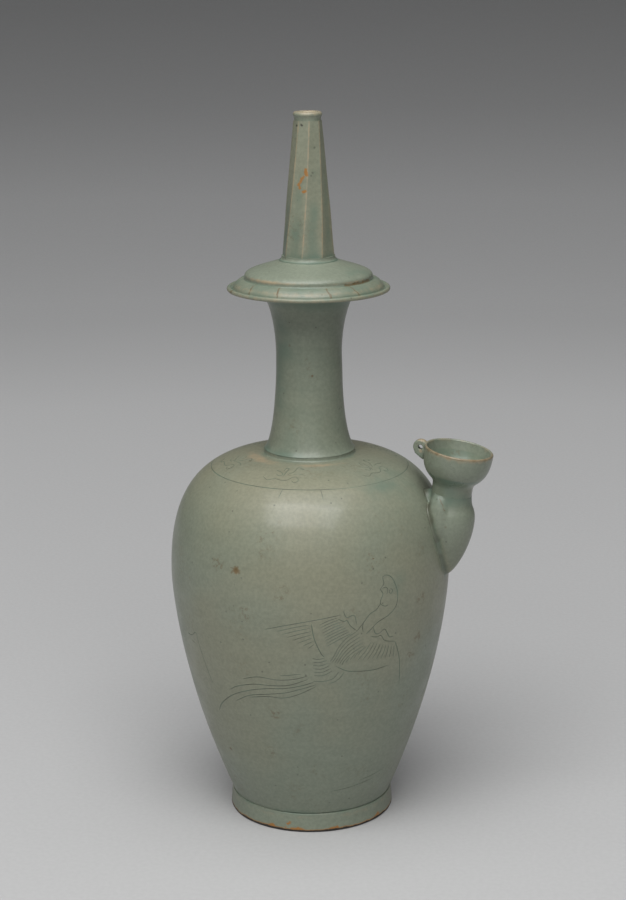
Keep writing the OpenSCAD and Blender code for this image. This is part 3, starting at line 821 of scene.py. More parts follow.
# Rows of feathers: the first and last line of each row, and how many lines it has
BIRD_ROWS = {
    "near_wing_primaries": (
        [(-13.5, 117.5), (-6.5, 120), (-0.5, 121.5)], [(-1, 109), (0, 110), (1.2, 111.2)], 7,
    ),
    "near_wing_secondaries": (
        [(3.5, 121.4), (6.8, 123.3), (10.3, 124.6)], [(6.5, 110.1), (12.1, 113.7), (16.1, 115.8)], 9,
    ),
    "body_feathers": (
        [(18.6, 116.8), (14.1, 113.4), (11.1, 109), (9.6, 105), (7.8, 101.6)],
        [(21.9, 108.6), (18.1, 106.2), (15.5, 103.9), (13.6, 101.4), (12.7, 99.3)], 6,
    ),
    "far_wing_feathers": (
        [(36.2, 105), (36.5, 102.2), (36.5, 98.9)], [(24.9, 109.9), (22.9, 105.6), (19.6, 101.1)], 9,
    ),
    "far_wing_coverts": (
        [(22.8, 107.8), (20.7, 105.8), (19.5, 103.5)], [(13.8, 101.9), (13.2, 100.3), (12.7, 99.3)], 5,
    ),
    "tail_coverts": ([(0.5, 103.6), (2.9, 103.1), (5.8, 103.8)], [(1.3, 94.2), (5, 94.1), (8.8, 96.4)], 6),
    "tail_feathers": (
        [(0.9, 91), (5.5, 90.8), (9.3, 92.2), (11.7, 95.8)],
        [(7.6, 89.5), (10.2, 90.4), (12.3, 92.4), (13.9, 95.3)], 2,
    ),
}
BIRD_TURNS = (0, 118, -122)
# A cloud scroll on the shoulder: degrees from the cloud's middle, and radii in millimetres
CLOUD_LINES = (
    [
        (-14, 43), (-9.5, 45), (-5.5, 43.5), (-1, 44.2), (3, 44), (6.5, 41.5), (9.5, 41.5), (10.5, 44),
        (8.5, 45.5), (6, 44),
    ],
    [(-9, 36), (-4, 37.5), (-1.5, 39.5), (-3.5, 41), (-6.5, 39.5)],
    [(-0.5, 41), (0, 37.5), (0.5, 33.5), (-2, 33), (-2.5, 36)],
    [(2, 39.5), (6, 36), (8, 31.5), (13, 33.5), (10, 33.6)],
    [(5.5, 38.8), (10.5, 38.4), (14.5, 39.5)],
)
CLOUD_TURNS = (-75, -18, 50, 108, 166, 226)
# Short strokes under the scored ring, and long faint strokes above the foot
TICKS = ([(-15.3, 183.3), (-16.2, 179.8)], [(6, 183.2), (6.8, 179.2)])
FOOT_STROKES = ([(12, 24), (26, 25.4), (40, 27.4)], [(30, 28.4), (40, 29.8), (48, 31.6)])
# Faint strokes to the left of the bird
SIDE_STROKES = (
    [(-64, 103.5), (-60, 104), (-56, 106.5), (-55, 101), (-52, 88), (-50, 81)], [(-61, 101), (-58, 100)],
)
# Widths of the feather rows and clouds, and of the small strokes, against that of a bird's outline
FINE_LINE = 0.85
FAINT_LINE = 0.8
# Place of the lines' glaze among the body's materials
LINE_FACES = 1
# Width at a stroke's end, and what each point away from the end adds
STROKE_END = 0.45
STROKE_GROWTH = 0.2


def smooth_path(points, runs=7):
    """A path through the points of a stroke, curved from each to the next."""
    path = [Vector(p) for p in points]
    ends = [2 * path[0] - path[1], *path, 2 * path[-1] - path[-2]]
    drawn = []
    for a, b, c, d in zip(ends, ends[1:], ends[2:], ends[3:]):
        for i in range(runs):
            t = i / runs
            drawn.append(0.5 * (2 * b + (c - a) * t + (2 * a - 5 * b + 4 * c - d) * t * t
                                + (3 * b - a - 3 * c + d) * t ** 3))
    return [*drawn, path[-1]]


def feather_row(first, last, count):
    """Lines that go from the first of a row to its last."""
    rows = []
    for k in range(count):
        t = k / max(1, count - 1)
        rows.append([Vector(a).lerp(Vector(b), t) for a, b in zip(first, last)])
    return rows


def round_body(degrees, radius, height):
    """A place round the vessel's axis, by its direction from the view."""
    angle = math.radians(VIEW_TURN + degrees)
    return Vector((radius * math.sin(angle), -radius * math.cos(angle), height))


def on_wall(v, degrees, millimetres):
    """A place on the body's wall, by its direction from the view and its height."""
    return round_body(degrees, wall_radius(v.wall, millimetres * MM), millimetres * MM)


def scriber(name, body, strokes, width, materials):
    """A cutter made of tubes that follow strokes over the body, thinner towards their ends."""
    curve = bpy.data.curves.new(name, "CURVE")
    curve.dimensions = "3D"
    curve.bevel_depth = width / 2
    curve.bevel_resolution = 1
    curve.use_fill_caps = True
    for stroke in strokes:
        line = curve.splines.new("POLY")
        line.points.add(len(stroke) - 1)
        for i, place in enumerate(stroke):
            held = body.closest_point_on_mesh(place)[1]
            from_end = min(i, len(stroke) - 1 - i)
            line.points[i].co = (*held, 1.0)
            line.points[i].radius = min(1.0, STROKE_END + STROKE_GROWTH * from_end)
    cutter = bpy.data.objects.new(name, curve)
    bpy.context.scene.collection.objects.link(cutter)
    activate(cutter)
    bpy.ops.object.convert(target="MESH")
    cutter = bpy.context.object
    coat(cutter, materials, LINE_FACES)
    weld(cutter)
    return cutter


def incise(body, v, width, materials):
    """Cuts the birds, the clouds and the small strokes into the body."""
    cutters = []

    def on_side(points, turn):
        return [on_wall(v, p.x + turn, p.y) for p in smooth_path(points)]

    def on_shoulder(points, turn):
        return [
            round_body(p.x + turn, p.y * MM, wall_height(v.wall, p.y * MM)) for p in smooth_path(points)
        ]

    for turn in BIRD_TURNS:
        for name, points in BIRD_LINES.items():
            cutters.append(scriber(name, body, [on_side(points, turn)], width, materials))
        for name, (first, last, count) in BIRD_ROWS.items():
            row = [on_side(points, turn) for points in feather_row(first, last, count)]
            cutters.append(scriber(name, body, row, width * FINE_LINE, materials))
    for turn in CLOUD_TURNS:
        for points in CLOUD_LINES:
            stroke = on_shoulder(points, turn)
            cutters.append(scriber("cloud", body, [stroke], width * FINE_LINE, materials))
    strokes = [on_side(points, 0) for points in (*TICKS, *FOOT_STROKES, *SIDE_STROKES)]
    cutters.append(scriber("strokes", body, strokes, width * FAINT_LINE, materials))
    group = bpy.data.collections.new("cutters")
    bpy.context.scene.collection.children.link(group)
    for cutter in cutters:
        group.objects.link(cutter)
    modifier = body.modifiers.new("incise", "BOOLEAN")
    modifier.operation = "DIFFERENCE"
    modifier.solver = "MANIFOLD"
    modifier.operand_type = "COLLECTION"
    modifier.collection = group
    apply_modifier(body, modifier)
    for cutter in cutters:
        bpy.data.objects.remove(cutter)
    bpy.data.collections.remove(group)


# Sections of the vessel

# Chips of the foot's edge, from one direction and height to another, and their reach in millimetres
FOOT_CHIPS = (
    (-35, 0.9, -28, 1.1, 1.9),
    (-18, 2.6, -16.5, 4.4, 0.7),
    (-16.5, 4.4, -13.5, 4.9, 0.8),
    (-13.5, 4.9, -12.5, 3.6, 0.6),
    (-14, 0.9, -8, 1.0, 2.0),
    (14.5, 1.2, 18, 1.4, 1.6),
    (50, 1.2, 55, 2.4, 1.7),
    (148, 1.0, 153, 1.4, 1.6),
    (234, 1.0, 238, 1.2, 1.6),
)
# Longest run of an outline where the paint changes quickly
FINE_RUN = 1.2 * MM


class KUNDIKA_OT_foot_ring(bpy.types.Operator):
    """Model the foot ring with its chips and bare edge"""

    bl_idname = "kundika.foot_ring"
    bl_label = "Foot ring"

    def execute(self, context):
        s, c, v = section(context)
        edge = 0.9 * MM
        inside = v.floor_spigot + s.slip_gap
        bottom_in, bottom = spot(v.foot_in, 0), spot(s.foot_d / 2, 0)
        top, top_in = spot(s.foot_top_d / 2, s.foot_h), spot(inside, s.foot_h)
        seat_in = spot(v.foot_in, v.rebate)
        outline = [
            *corner(seat_in, bottom_in, bottom, edge),
            *corner(bottom_in, bottom, top, edge),
            *corner(bottom, top, top_in, edge),
            top_in,
            spot(inside, v.rebate),
            seat_in,
        ]
        piece = thrown("glazed_foot", stepped(outline, FINE_RUN), "foot")

        def on_foot(turn, height):
            return round_body(turn, s.foot_d / 2, height * MM)

        chips = [
            (on_foot(turn, height), on_foot(last_turn, last_height), reach * MM)
            for turn, height, last_turn, last_height, reach in FOOT_CHIPS
        ]
        paint_glaze(
            piece,
            lambda co: 0.5 * fade(co.z - s.foot_h, 0.9 * MM),
            lambda co: 0.3 * fade(co.z - s.foot_h + 2.4 * MM, 1.2 * MM),
        )
        coat(piece, [foot_glaze(c, chips)])
        dress(piece, ["foot_ring"])
        return {"FINISHED"}


# Thickness of the glaze where the bulb meets the body, and how far it reaches
JOINT_POOL = 0.7
JOINT_REACH = 2.6 * MM
# Marks of the body: direction, height, reach in millimetres, strength and colour
BODY_SPOTS = (
    (-30.8, 145.7, 2.4, 0.35, "rust"),
    (-30.8, 145.7, 2.2, 0.7, "iron"),
    (-50, 42.8, 1.4, 0.8, "iron"),
    (-40, 147, 5.4, 0.5, "iron"),
    (-12, 137, 5.6, 0.5, "iron"),
    (-27, 125, 5.4, 0.5, "iron"),
    (26, 152, 0.7, 0.8, "iron"),
    (50, 106, 5.2, 0.55, "iron"),
    (47, 97, 4.6, 0.55, "iron"),
    (-17, 72, 5.2, 0.5, "iron"),
    (50, 126, 4.6, 0.5, "iron"),
    (-22, 48, 5.0, 0.4, "iron"),
)
# Strokes of iron on the body: direction and height of both ends, reach in millimetres and strength
BODY_STROKES = (
    (-33, 144.6, -30, 147.4, 0.9, 0.5),
    (-31.6, 147.8, -29, 144.4, 0.8, 0.5),
    (-33.2, 146.6, -29.2, 146, 0.7, 0.4),
)
# Width of the slope between the body's floor and the foot of its wall
FLOOR_SLOPE = 2 * MM
# How far the middle of the scored ring's groove lies below the shoulder
RING_DEPTH = 0.15 * MM


def joint_gap(s, v):
    """A rule that gives how far a place lies from the line where the bulb meets the body."""
    outline = bulb_outline(s, s.bulb_d / 2, s.bulb_tail_h, s.waist_d / 2)
    upright = leaning(v.bulb, s.bulb_tilt).inverted()
    tip = Vector((0, 0, outline[0].y))

    def gap(co):
        local = upright @ co
        if local.length > 2 * s.bulb_tail_h:
            return s.bulb_tail_h
        from_bulb = local.xy.length - wall_radius(outline, local.z)
        if local.z < tip.z:
            from_bulb = (local - tip).length
        from_body = co.xy.length - wall_radius(v.wall, co.z)
        return max(from_bulb, from_body, 0.0)

    return gap


class KUNDIKA_OT_body(bpy.types.Operator):
    """Model the body in one glazed skin and incise its birds and clouds"""

    bl_idname = "kundika.body"
    bl_label = "Body"

    def execute(self, context):
        s, c, v = section(context)
        floor_top = s.foot_h + s.floor_t
        inner = curve_points(v.lower_curve, CURVE_RUNS, s.body_wall)
        inner += curve_points(v.upper_curve, CURVE_RUNS, s.body_wall)[1:]
        inner = [p for p in inner if p.y > floor_top]
        hole = v.neck_spigot + s.slip_gap
        piece = thrown("glazed_body", [
            spot(0, v.rebate),
            spot(v.floor_spigot, v.rebate),
            spot(v.floor_spigot, s.foot_h),
            *v.wall,
            spot(hole, v.shoulder),
            spot(hole, v.shoulder - s.body_wall),
            *reversed(inner),
            spot(inner[0].x - FLOOR_SLOPE, floor_top),
            spot(0, floor_top),
        ], "body", closed=False)

        def held(turn, height):
            return on_wall(v, turn, height)

        spots = spot_marks(c, BODY_SPOTS, held)
        glaze = celadon("body_glaze", c, spots, stroke_marks(BODY_STROKES, held, c.iron))
        lines = line_glaze(c)
        coat(piece, [glaze, lines])
        bpy.ops.mesh.primitive_cylinder_add(
            radius=s.pierce_d / 2, depth=4 * s.body_wall, rotation=(0, math.pi / 2, 0),
            location=(s.body_d / 2 - s.body_wall / 2, 0, v.bulb_z - s.pierce_drop),
        )
        carve(piece, bpy.context.object)
        ring = spot(s.ring_d / 2, wall_height(v.wall, s.ring_d / 2) - RING_DEPTH)
        groove = spin("scored_ring", arc_points(ring, s.line_w / 2, 0, 315, runs=7), "body")
        carve(piece, groove, face_index=LINE_FACES)
        incise(piece, v, s.line_w, (glaze, lines))
        gap = joint_gap(s, v)

        def pool(co):
            spout = JOINT_POOL * fade(gap(co), JOINT_REACH)
            head = 0.45 * fade(facing(co, 38), 5) * fade(co.z - 134 * MM, 9 * MM)
            foot = 0.45 * fade(co.z - s.foot_h, 1.5 * MM)
            thick = max(spout, head, foot)
            if co.z > v.seam:
                radius = co.xy.length
                collar = 0.4 * fade(radius - s.collar_d / 2, 2.5 * MM)
                stain = 0.5 * fade(facing(co, 48), 22) * fade(radius - 51 * MM, 11 * MM)
                thick = max(thick, collar, stain)
            return thick

        def thin(co):
            if co.z < v.seam:
                return 0.0
            radius = co.xy.length
            left = 0.75 * fade(facing(co, -62), 30) * fade(radius - 29 * MM, 4 * MM)
            front = 0.7 * fade(facing(co, 8), 30) * fade(radius - 28.5 * MM, 2.5 * MM)
            return max(left, front)

        def cool(co):
            share = min(1.0, max(0.0, (v.shoulder - co.z) / (v.shoulder - s.foot_h)))
            return 0.1 + 0.75 * share ** 0.45

        paint_glaze(piece, pool, thin, cool)
        dress(piece, ["lower_body", "upper_body"])
        return {"FINISHED"}


class KUNDIKA_OT_neck_collar(bpy.types.Operator):
    """Model the thin collar under the neck"""

    bl_idname = "kundika.neck_collar"
    bl_label = "Neck collar"

    def execute(self, context):
        s, c, v = section(context)
        inside = v.neck_spigot + s.slip_gap
        edge = s.collar_d / 2
        side = edge - 0.9 * MM
        low = v.shoulder - 2 * LUTE
        # A fillet of slip runs from the ring's side onto the shoulder
        slip = (
            spot(edge, low), spot(edge - 0.6 * MM, v.shoulder), spot(side, v.shoulder + 0.2 * MM),
            spot(side, v.shoulder + 0.9 * MM),
        )
        piece = thrown("glazed_collar", [
            spot(inside, low),
            *curve_points(slip, runs=8),
            *corner(slip[3], spot(side, v.neck), spot(inside, v.neck), 0.8 * MM),
            spot(inside, v.neck),
        ], "neck_collar")
        paint_glaze(
            piece,
            lambda co: 0.3 * fade(co.z - v.shoulder, 0.6 * MM) + 0.2 * fade(co.z - v.neck, 0.5 * MM),
            lambda co: 0.25 * fade(facing(co, -50), 40),
        )
        coat(piece, [plain_celadon(c)])
        dress(piece, ["neck_collar"])
        return {"FINISHED"}


# Marks of the neck: direction, height, reach in millimetres, strength and colour
NECK_SPOTS = ((6, 232, 0.9, 0.9, "iron"), (-35, 247, 1.0, 0.4, "iron"))


class KUNDIKA_OT_neck(bpy.types.Operator):
    """Model the waisted neck"""

    bl_idname = "kundika.neck"
    bl_label = "Neck"

    def execute(self, context):
        s, c, v = section(context)
        foot = spot(s.neck_base_d / 2, v.neck)
        narrow = spot(s.neck_waist_d / 2, v.waist)
        top = spot(s.neck_top_d / 2, v.flange)
        pull = spot(0, s.neck_pull)
        foot_curve = (foot, foot + lean(s.neck_pull, -s.neck_base_slope), narrow - pull, narrow)
        top_curve = (narrow, narrow + pull, top - lean(s.neck_pull, s.neck_top_slope), top)
        bore = s.neck_bore_d / 2
        low, high = v.shoulder - s.body_wall, v.chamber - s.slip_gap
        sunk, seated = v.neck - LUTE, v.flange + 3 * LUTE
        piece = thrown("glazed_neck", [
            spot(bore, low),
            spot(v.neck_spigot, low),
            spot(v.neck_spigot, sunk),
            spot(foot.x, sunk),
            *curve_points(foot_curve, runs=44),
            *curve_points(top_curve, runs=36)[1:],
            spot(top.x, seated),
            spot(v.neck_spigot, seated),
            spot(v.neck_spigot, high),
            spot(bore, high),
        ], "neck")
        spots = spot_marks(
            c, NECK_SPOTS, lambda turn, height: round_body(turn, s.neck_waist_d / 2, height * MM)
        )
        paint_glaze(piece, lambda co: max(
            0.15,
            0.6 * fade(co.z - v.neck, 3 * MM) * (0.4 + 0.6 * fade(facing(co, -60), 70)),
            0.6 * fade(co.z - v.flange, 5 * MM),
            0.6 * fade(facing(co, -58), 30) * fade(co.z - v.waist, 32 * MM),
        ))
        coat(piece, [celadon("neck_glaze", c, spots)])
        dress(piece, ["neck"])
        return {"FINISHED"}


# Cracks across the flange's band: directions at the dome and at the groove
BAND_CRACKS = ((-25, -24), (14, 17), (36, 41), (-52, -50), (160, 163))
# Direction of the chip in the flange's rim
RIM_CHIP = -70
# Where the rim's round ends, inside it, in degrees
RIM_END = 140


class KUNDIKA_OT_flange(bpy.types.Operator):
    """Model the saucer-like flange with its rim and groove"""

    bl_idname = "kundika.flange"
    bl_label = "Flange"

    def execute(self, context):
        s, c, v = section(context)
        rim = s.rim_t / 2
        centre = spot(s.flange_d / 2 - rim, v.flange + s.flange_rise)
        groove = spot(centre.x - s.rim_groove_w, centre.y + 0.15 * rim)
        step = spot(s.dome_d / 2 + s.dome_step_w, v.dome)
        band = (groove, groove + spot(0, s.band_pull), step + spot(s.band_pull, 0), step)
        seat = spot(v.chamber_r, v.dome)
        neck = spot(s.neck_top_d / 2, v.flange)
        hole = spot(v.neck_spigot + s.slip_gap, v.flange)
        under = centre - spot(0, rim)
        rim_top = arc_points(centre, rim, RIM_END, RIM_END)[0]
        piece = thrown("glazed_flange", [
            hole,
            *corner(hole, neck, under, 1.2 * MM),
            *arc_points(centre, rim, -90, RIM_END, runs=18),
            *corner(rim_top, groove, along(band, 0.2), 0.3 * MM),
            *curve_points(band, runs=22)[4:],
            *stepped([step - spot(0.4 * MM, 0), seat], FINE_RUN),
            spot(v.chamber_r, v.chamber),
            spot(hole.x, v.chamber),
        ], "flange")

        def pool(co):
            if co.z < centre.y:
                return 0.2
            radius = co.xy.length
            # The whole top gets at least half the pooled colour, so it is darker green than the shoulder
            return max(0.5, 0.8 * fade(radius - groove.x, 0.5 * MM), 0.55 * fade(radius - step.x, MM))

        def thin(co):
            radius = co.xy.length
            edge = 0.42 * fade(radius - s.flange_d / 2, MM)
            if co.z <= groove.y:
                return edge
            return max(edge, 0.4 * fade(radius - groove.x + 1.2 * MM, 1.1 * MM))

        crest = along(band, 0.5)
        cracks = []
        for turn, last_turn in BAND_CRACKS:
            points = (
                round_body(turn, step.x, step.y),
                round_body((turn + last_turn) / 2, crest.x, crest.y),
                round_body(last_turn, groove.x, groove.y),
            )
            cracks += line_marks(points, 0.7, 0.7, c.iron)
        chip = (round_body(RIM_CHIP, s.flange_d / 2, centre.y), 2.4 * MM, 0.6, c.iron)
        paint_glaze(piece, pool, thin, less_blue)
        coat(piece, [celadon("flange_glaze", c, [chip], cracks)])
        dress(piece, ["flange"])
        return {"FINISHED"}


# Directions along which the dome's lower edge is darkened: a brown line in the glaze, with painted shadow
# under the edge
DOME_DARK_EDGE = (34, 44, 56, 68)


class KUNDIKA_OT_dome(bpy.types.Operator):
    """Model the stepped dome on the flange"""

    bl_idname = "kundika.dome"
    bl_label = "Dome"

    def execute(self, context):
        s, c, v = section(context)
        edge = spot(s.dome_d / 2, v.dome)
        top = spot(s.tube_ring_d / 2, v.ring)
        curve = (
            edge + spot(0, s.dome_edge_h),
            edge + spot(0, s.dome_edge_h + s.dome_pull),
            top + lean(s.dome_top_pull, math.pi / 2 + s.dome_top_slope),
            top,
        )
        spigot = v.chamber_r - s.slip_gap
        low = v.dome - s.spigot_h
        hole = v.tube_spigot + s.slip_gap
        # A fillet of slip runs from the dome's edge onto the flange
        sunk = edge + spot(0.7 * MM, -2 * LUTE)
        slip = (sunk, edge + spot(0.35 * MM, 0), edge + spot(0, 0.2 * MM), edge + spot(0, 0.8 * MM))
        piece = thrown("glazed_dome", [
            spot(spigot, low),
            spot(spigot, sunk.y),
            *curve_points(slip, runs=8),
            *curve_points(curve, runs=40),
            spot(hole, v.ring),
            spot(hole, v.ring - s.dome_wall),
            spot(spigot - s.spigot_wall, v.dome + s.dome_edge_h),
            spot(spigot - s.spigot_wall, low),
        ], "dome")
        # A brown line along the dome's lower edge, with painted shadow under it
        stain = [round_body(turn, edge.x, v.dome + 0.3 * MM) for turn in DOME_DARK_EDGE]
        paint_glaze(
            piece,
            lambda co: max(
                0.6 * fade(co.z - v.dome, 0.5 * MM),
                0.5 * fade(co.xy.length - top.x, 0.8 * MM),
                0.5 * fade(facing(co, 60), 30) * fade(co.z - v.dome - 5 * MM, 3 * MM),
            ),
            lambda co: max(
                0.8 * fade(facing(co, -38), 34) * fade(co.z - v.dome - 1.8 * MM, MM),
                0.6 * fade(facing(co, 45), 24) * fade(co.z - v.dome - 1.4 * MM, 0.7 * MM),
            ),
        )
        coat(piece, [celadon("dome_glaze", c, (), line_marks(stain, 1.1, 0.75, c.iron))])
        dress(piece, ["dome"])
        return {"FINISHED"}


class KUNDIKA_OT_tube_collar(bpy.types.Operator):
    """Model the small ring at the tube's foot"""

    bl_idname = "kundika.tube_collar"
    bl_label = "Tube collar"

    def execute(self, context):
        s, c, v = section(context)
        edge = spot(s.tube_ring_d / 2, v.ring + s.ring_edge_h)
        top = spot(s.tube_base_d / 2, v.tube)
        curve = (edge, edge - spot(s.ring_pull, 0), top - spot(0, s.ring_pull), top)
        inside = v.tube_spigot + s.slip_gap
        low = spot(edge.x, v.ring - LUTE)
        piece = thrown("glazed_ring", [
            spot(inside, low.y),
            low,
            *corner(low, edge, along(curve, 0.4), 0.2 * MM),
            *curve_points(curve, runs=16)[5:],
            spot(inside, v.tube),
        ], "tube_collar")
        paint_glaze(piece, lambda co: 0.25 + 0.5 * fade(co.z - edge.y, 0.4 * MM))
        coat(piece, [plain_celadon(c)])
        dress(piece, ["tube_collar"])
        return {"FINISHED"}


def loop_step(rise=0.0, scale=1.0, rounded=False, turn=0.0):
    """Extrudes the selected loop by a rise and a scale, and makes it round where asked."""
    bpy.ops.mesh.extrude_region_move(TRANSFORM_OT_translate={"value": (0, 0, rise)})
    if scale != 1.0:
        bpy.ops.transform.resize(value=(scale, scale, 1), center_override=(0, 0, 0))
    if rounded:
        bpy.ops.transform.tosphere(value=1.0)
    if turn:
        # With no window this operator turns the other way
        bpy.ops.transform.rotate(value=-turn, orient_axis="Z", center_override=(0, 0, 0))


def loop_radius(piece):
    """Mean radius of the selected vertices."""
    mesh = bmesh.from_edit_mesh(piece.data)
    radii = [math.hypot(p.co.x, p.co.y) for p in mesh.verts if p.select]
    return sum(radii) / len(radii)


def pick_edges(piece, rule):
    """Selects the edges of an open piece that follow a rule."""
    bpy.ops.mesh.select_mode(type="EDGE")
    bpy.ops.mesh.select_all(action="DESELECT")
    mesh = bmesh.from_edit_mesh(piece.data)
    for e in mesh.edges:
        e.select = rule(e)
    bmesh.update_edit_mesh(piece.data)


# Marks of the tube: direction, height, reach in millimetres, strength and colour
TUBE_SPOTS = (
    (-52, 353.5, 1.0, 0.95, "near_black"),
    (-27, 353.8, 0.9, 0.9, "near_black"),
    (26, 343, 0.85, 0.8, "line"),
    (15, 331, 0.85, 0.8, "line"),
    (-32, 318, 0.85, 0.7, "line"),
)
# Strokes of rust on the tube: direction and height of both ends, reach in millimetres and strength
TUBE_STROKES = (
    (-5, 332.4, -4, 330.2, 1.2, 0.95),
    (-15, 329.2, -29, 325.2, 1.05, 0.95),
    (-27, 326, -26, 323.6, 0.95, 0.9),
    (-14, 322, -7, 322.4, 1.1, 0.95),
)
# Cuts in each flat side and runs up the tube
SIDE_CUTS = 5
TUBE_RUNS = 24
# Radius of the marks against that of the tube's corners
SIDE_RADIUS = 0.96
# Rounding of the tube's ridges, and how near to a corner a ridge is looked for
RIDGE_ROUND = 0.55 * MM
RIDGE_SLACK = 0.05 * MM


class KUNDIKA_OT_tube(bpy.types.Operator):
    """Model the flat-sided pouring tube with its softened ridges"""

    bl_idname = "kundika.tube"
    bl_label = "Pouring tube"

    def execute(self, context):
        s, c, v = section(context)
        low = v.tube - LUTE
        rise = s.tube_h + LUTE
        side = FULL_TURN / s.tube_sides
        deselect()
        bpy.ops.mesh.primitive_circle_add(vertices=s.tube_sides, radius=s.tube_base_d / 2)
        piece = bpy.context.object
        piece.name = "glazed_tube"
        piece.data.name = "glazed_tube"
        first = math.atan2(piece.data.vertices[0].co.y, piece.data.vertices[0].co.x)
        piece.data.transform(Matrix.Rotation(TUBE_START - first, 4, "Z"))
        edit(piece)
        bpy.ops.mesh.subdivide(number_cuts=SIDE_CUTS)
        bpy.ops.transform.translate(value=(0, 0, low))
        lost = 1 - s.tube_top_d / s.tube_base_d
        for k in range(TUBE_RUNS):
            before = 1 - lost * k / TUBE_RUNS
            after = 1 - lost * (k + 1) / TUBE_RUNS
            loop_step(rise / TUBE_RUNS, after / before, turn=s.tube_turn / TUBE_RUNS)
        loop_step(0.0, s.tube_bore_top_d / 2 / loop_radius(piece), rounded=True)
        bottom = v.ring - s.dome_wall
        loop_step(bottom - low - rise, s.tube_bore_base_d / s.tube_bore_top_d)
        loop_step(0.0, v.tube_spigot / (s.tube_bore_base_d / 2))
        loop_step(low - bottom)
        pick_edges(piece, lambda e: e.is_boundary)
        bpy.ops.mesh.bridge_edge_loops()

        def corner_radius(height):
            share = (height - low) / rise
            return (s.tube_base_d + (s.tube_top_d - s.tube_base_d) * share) / 2

        def on_ridge(co):
            return abs(co.xy.length - corner_radius(co.z)) < RIDGE_SLACK

        def is_ridge(e):
            a, b = e.verts[0].co, e.verts[1].co
            upright = abs(a.z - b.z) > 0.4 * rise / TUBE_RUNS
            return upright and on_ridge(a) and on_ridge(b)

        pick_edges(piece, is_ridge)
        bpy.ops.mesh.bevel(offset=RIDGE_ROUND, segments=4, profile=0.5, affect="EDGES")
        close_edit()
        weld(piece)
        hand_work(piece, "tube")

        def ridge(co):
            share = (co.z - low) / rise
            turn = (math.atan2(co.y, co.x) - TUBE_START - s.tube_turn * share) % side
            return min(turn, side - turn) * co.xy.length

        def on_tube(turn, height):
            return round_body(turn, SIDE_RADIUS * corner_radius(height * MM), height * MM)

        spots = spot_marks(c, TUBE_SPOTS, on_tube)
        strokes = stroke_marks(TUBE_STROKES, on_tube, c.rust)
        paint_glaze(
            piece,
            lambda co: max(
                0.7 * fade(co.z - v.tube, 2.0 * MM),
                0.6 * (1 - fade(ridge(co), 1.8 * MM)) * fade(co.z - v.tube, 45 * MM),
            ),
            lambda co: 0.62 * fade(ridge(co), 0.5 * MM),
            less_blue,
        )
        coat(piece, [celadon("tube_glaze", c, spots, strokes)])
        dress(piece, ["tube"])
        return {"FINISHED"}


class KUNDIKA_OT_tube_lip(bpy.types.Operator):
    """Model the rolled lip at the tube's mouth"""

    bl_idname = "kundika.tube_lip"
    bl_label = "Tube lip"

    def execute(self, context):
        s, c, v = section(context)
        bore = s.tube_bore_top_d / 2
        roll = (s.lip_d / 2 - bore) / 2
        neck = s.tube_top_d / 2 * math.cos(math.pi / s.tube_sides)
        top = v.lip + s.lip_h
        piece = thrown("glazed_lip", [
            spot(bore, v.lip - LUTE),
            spot(neck, v.lip - LUTE),
            spot(neck, v.lip + 0.6 * MM),
            *arc_points(spot(bore + roll, top - roll), roll, -38, 180, runs=20),
        ], "lip")
        paint_glaze(piece, nowhere, lambda co: 0.22 + 0.45 * fade(co.z - top, 1.4 * MM))
        coat(piece, [plain_celadon(c)])
        dress(piece, ["tube_lip"])
        return {"FINISHED"}


def bulb_outline(s, radius, tail, waist):
    """Half outline of a drop-shaped bulb about its own axis, from its tip to its waist."""
    tip = spot(0, -tail)
    widest = spot(radius, 0)
    top = spot(waist, s.bulb_top_h)
    lower = (tip, tip + lean(s.tip_pull, s.tip_slope), widest - spot(0, s.tail_pull), widest)
    upper = (widest, widest + spot(0, s.bulb_pull), top - spot(0, s.waist_pull), top)
    return [*curve_points(lower), *curve_points(upper)[1:]]


# Straight stub above the bulb's waist, which is cut off at the joint with the cup
STUB = 6 * MM


def bulb_solid(name, s, v, radius, tail, waist):
    """A drop-shaped solid at the place and tilt of the bulb, with a stub above its waist."""
    outline = bulb_outline(s, radius, tail, waist)
    outline += [spot(waist, s.bulb_top_h + STUB), spot(0, s.bulb_top_h + STUB)]
    piece = spin(name, outline, "bulb", closed=False)
    lean_over(piece, v.bulb, s.bulb_tilt)
    return piece


def body_core(v):
    """The body as a full solid, with the same wavers as its glazed skin."""
    outline = [spot(0, v.wall[0].y), *v.wall, spot(0, v.wall[-1].y)]
    return thrown("core", outline, "body", closed=False)


def swell(piece, depth):
    """Moves a whole surface out by a depth, or in where the depth is negative."""
    modifier = piece.modifiers.new("swell", "DISPLACE")
    modifier.strength = depth
    modifier.mid_level = 0.0
    apply_modifier(piece, modifier)


# Marks of the bulb, in millimetres from its middle: to the right, towards the view and up
BULB_SPOTS = (((-4.4, 11.6, 2.2), 1.1, 0.5), ((-3.2, 12, -1.6), 0.9, 0.4))
BULB_CRACK = ((-5.8, 9.8, 12.0), (-4.4, 11.0, 9.2), (-3.4, 11.6, 6.4))
# Painted shade, olive like glaze pooled there, along the bulb's joint and in the crotch under the cup:
# direction, millimetres above its middle, reach and strength
BULB_JOINT_SHADE = (
    (73, 15, 5.0, 0.85), (68, 14, 4.6, 0.85), (64, 9, 3.6, 0.8), (62, 1, 2.8, 0.6), (63, -9, 2.6, 0.5),
    (65, -18, 2.6, 0.5), (71, -28, 2.6, 0.5),
)
# Pads of slip between the bulb and the body, in millimetres from the bulb's middle: place and radii
SLIP_PADS = (
    ((-10.2, 0, 8.8), (4.8, 4.6, 5.6)),
    ((-3.2, -6.7, 1.5), (6.9, 6.9, 14)),
    ((-3.2, 6.7, 1.5), (6.9, 6.9, 14)),
)
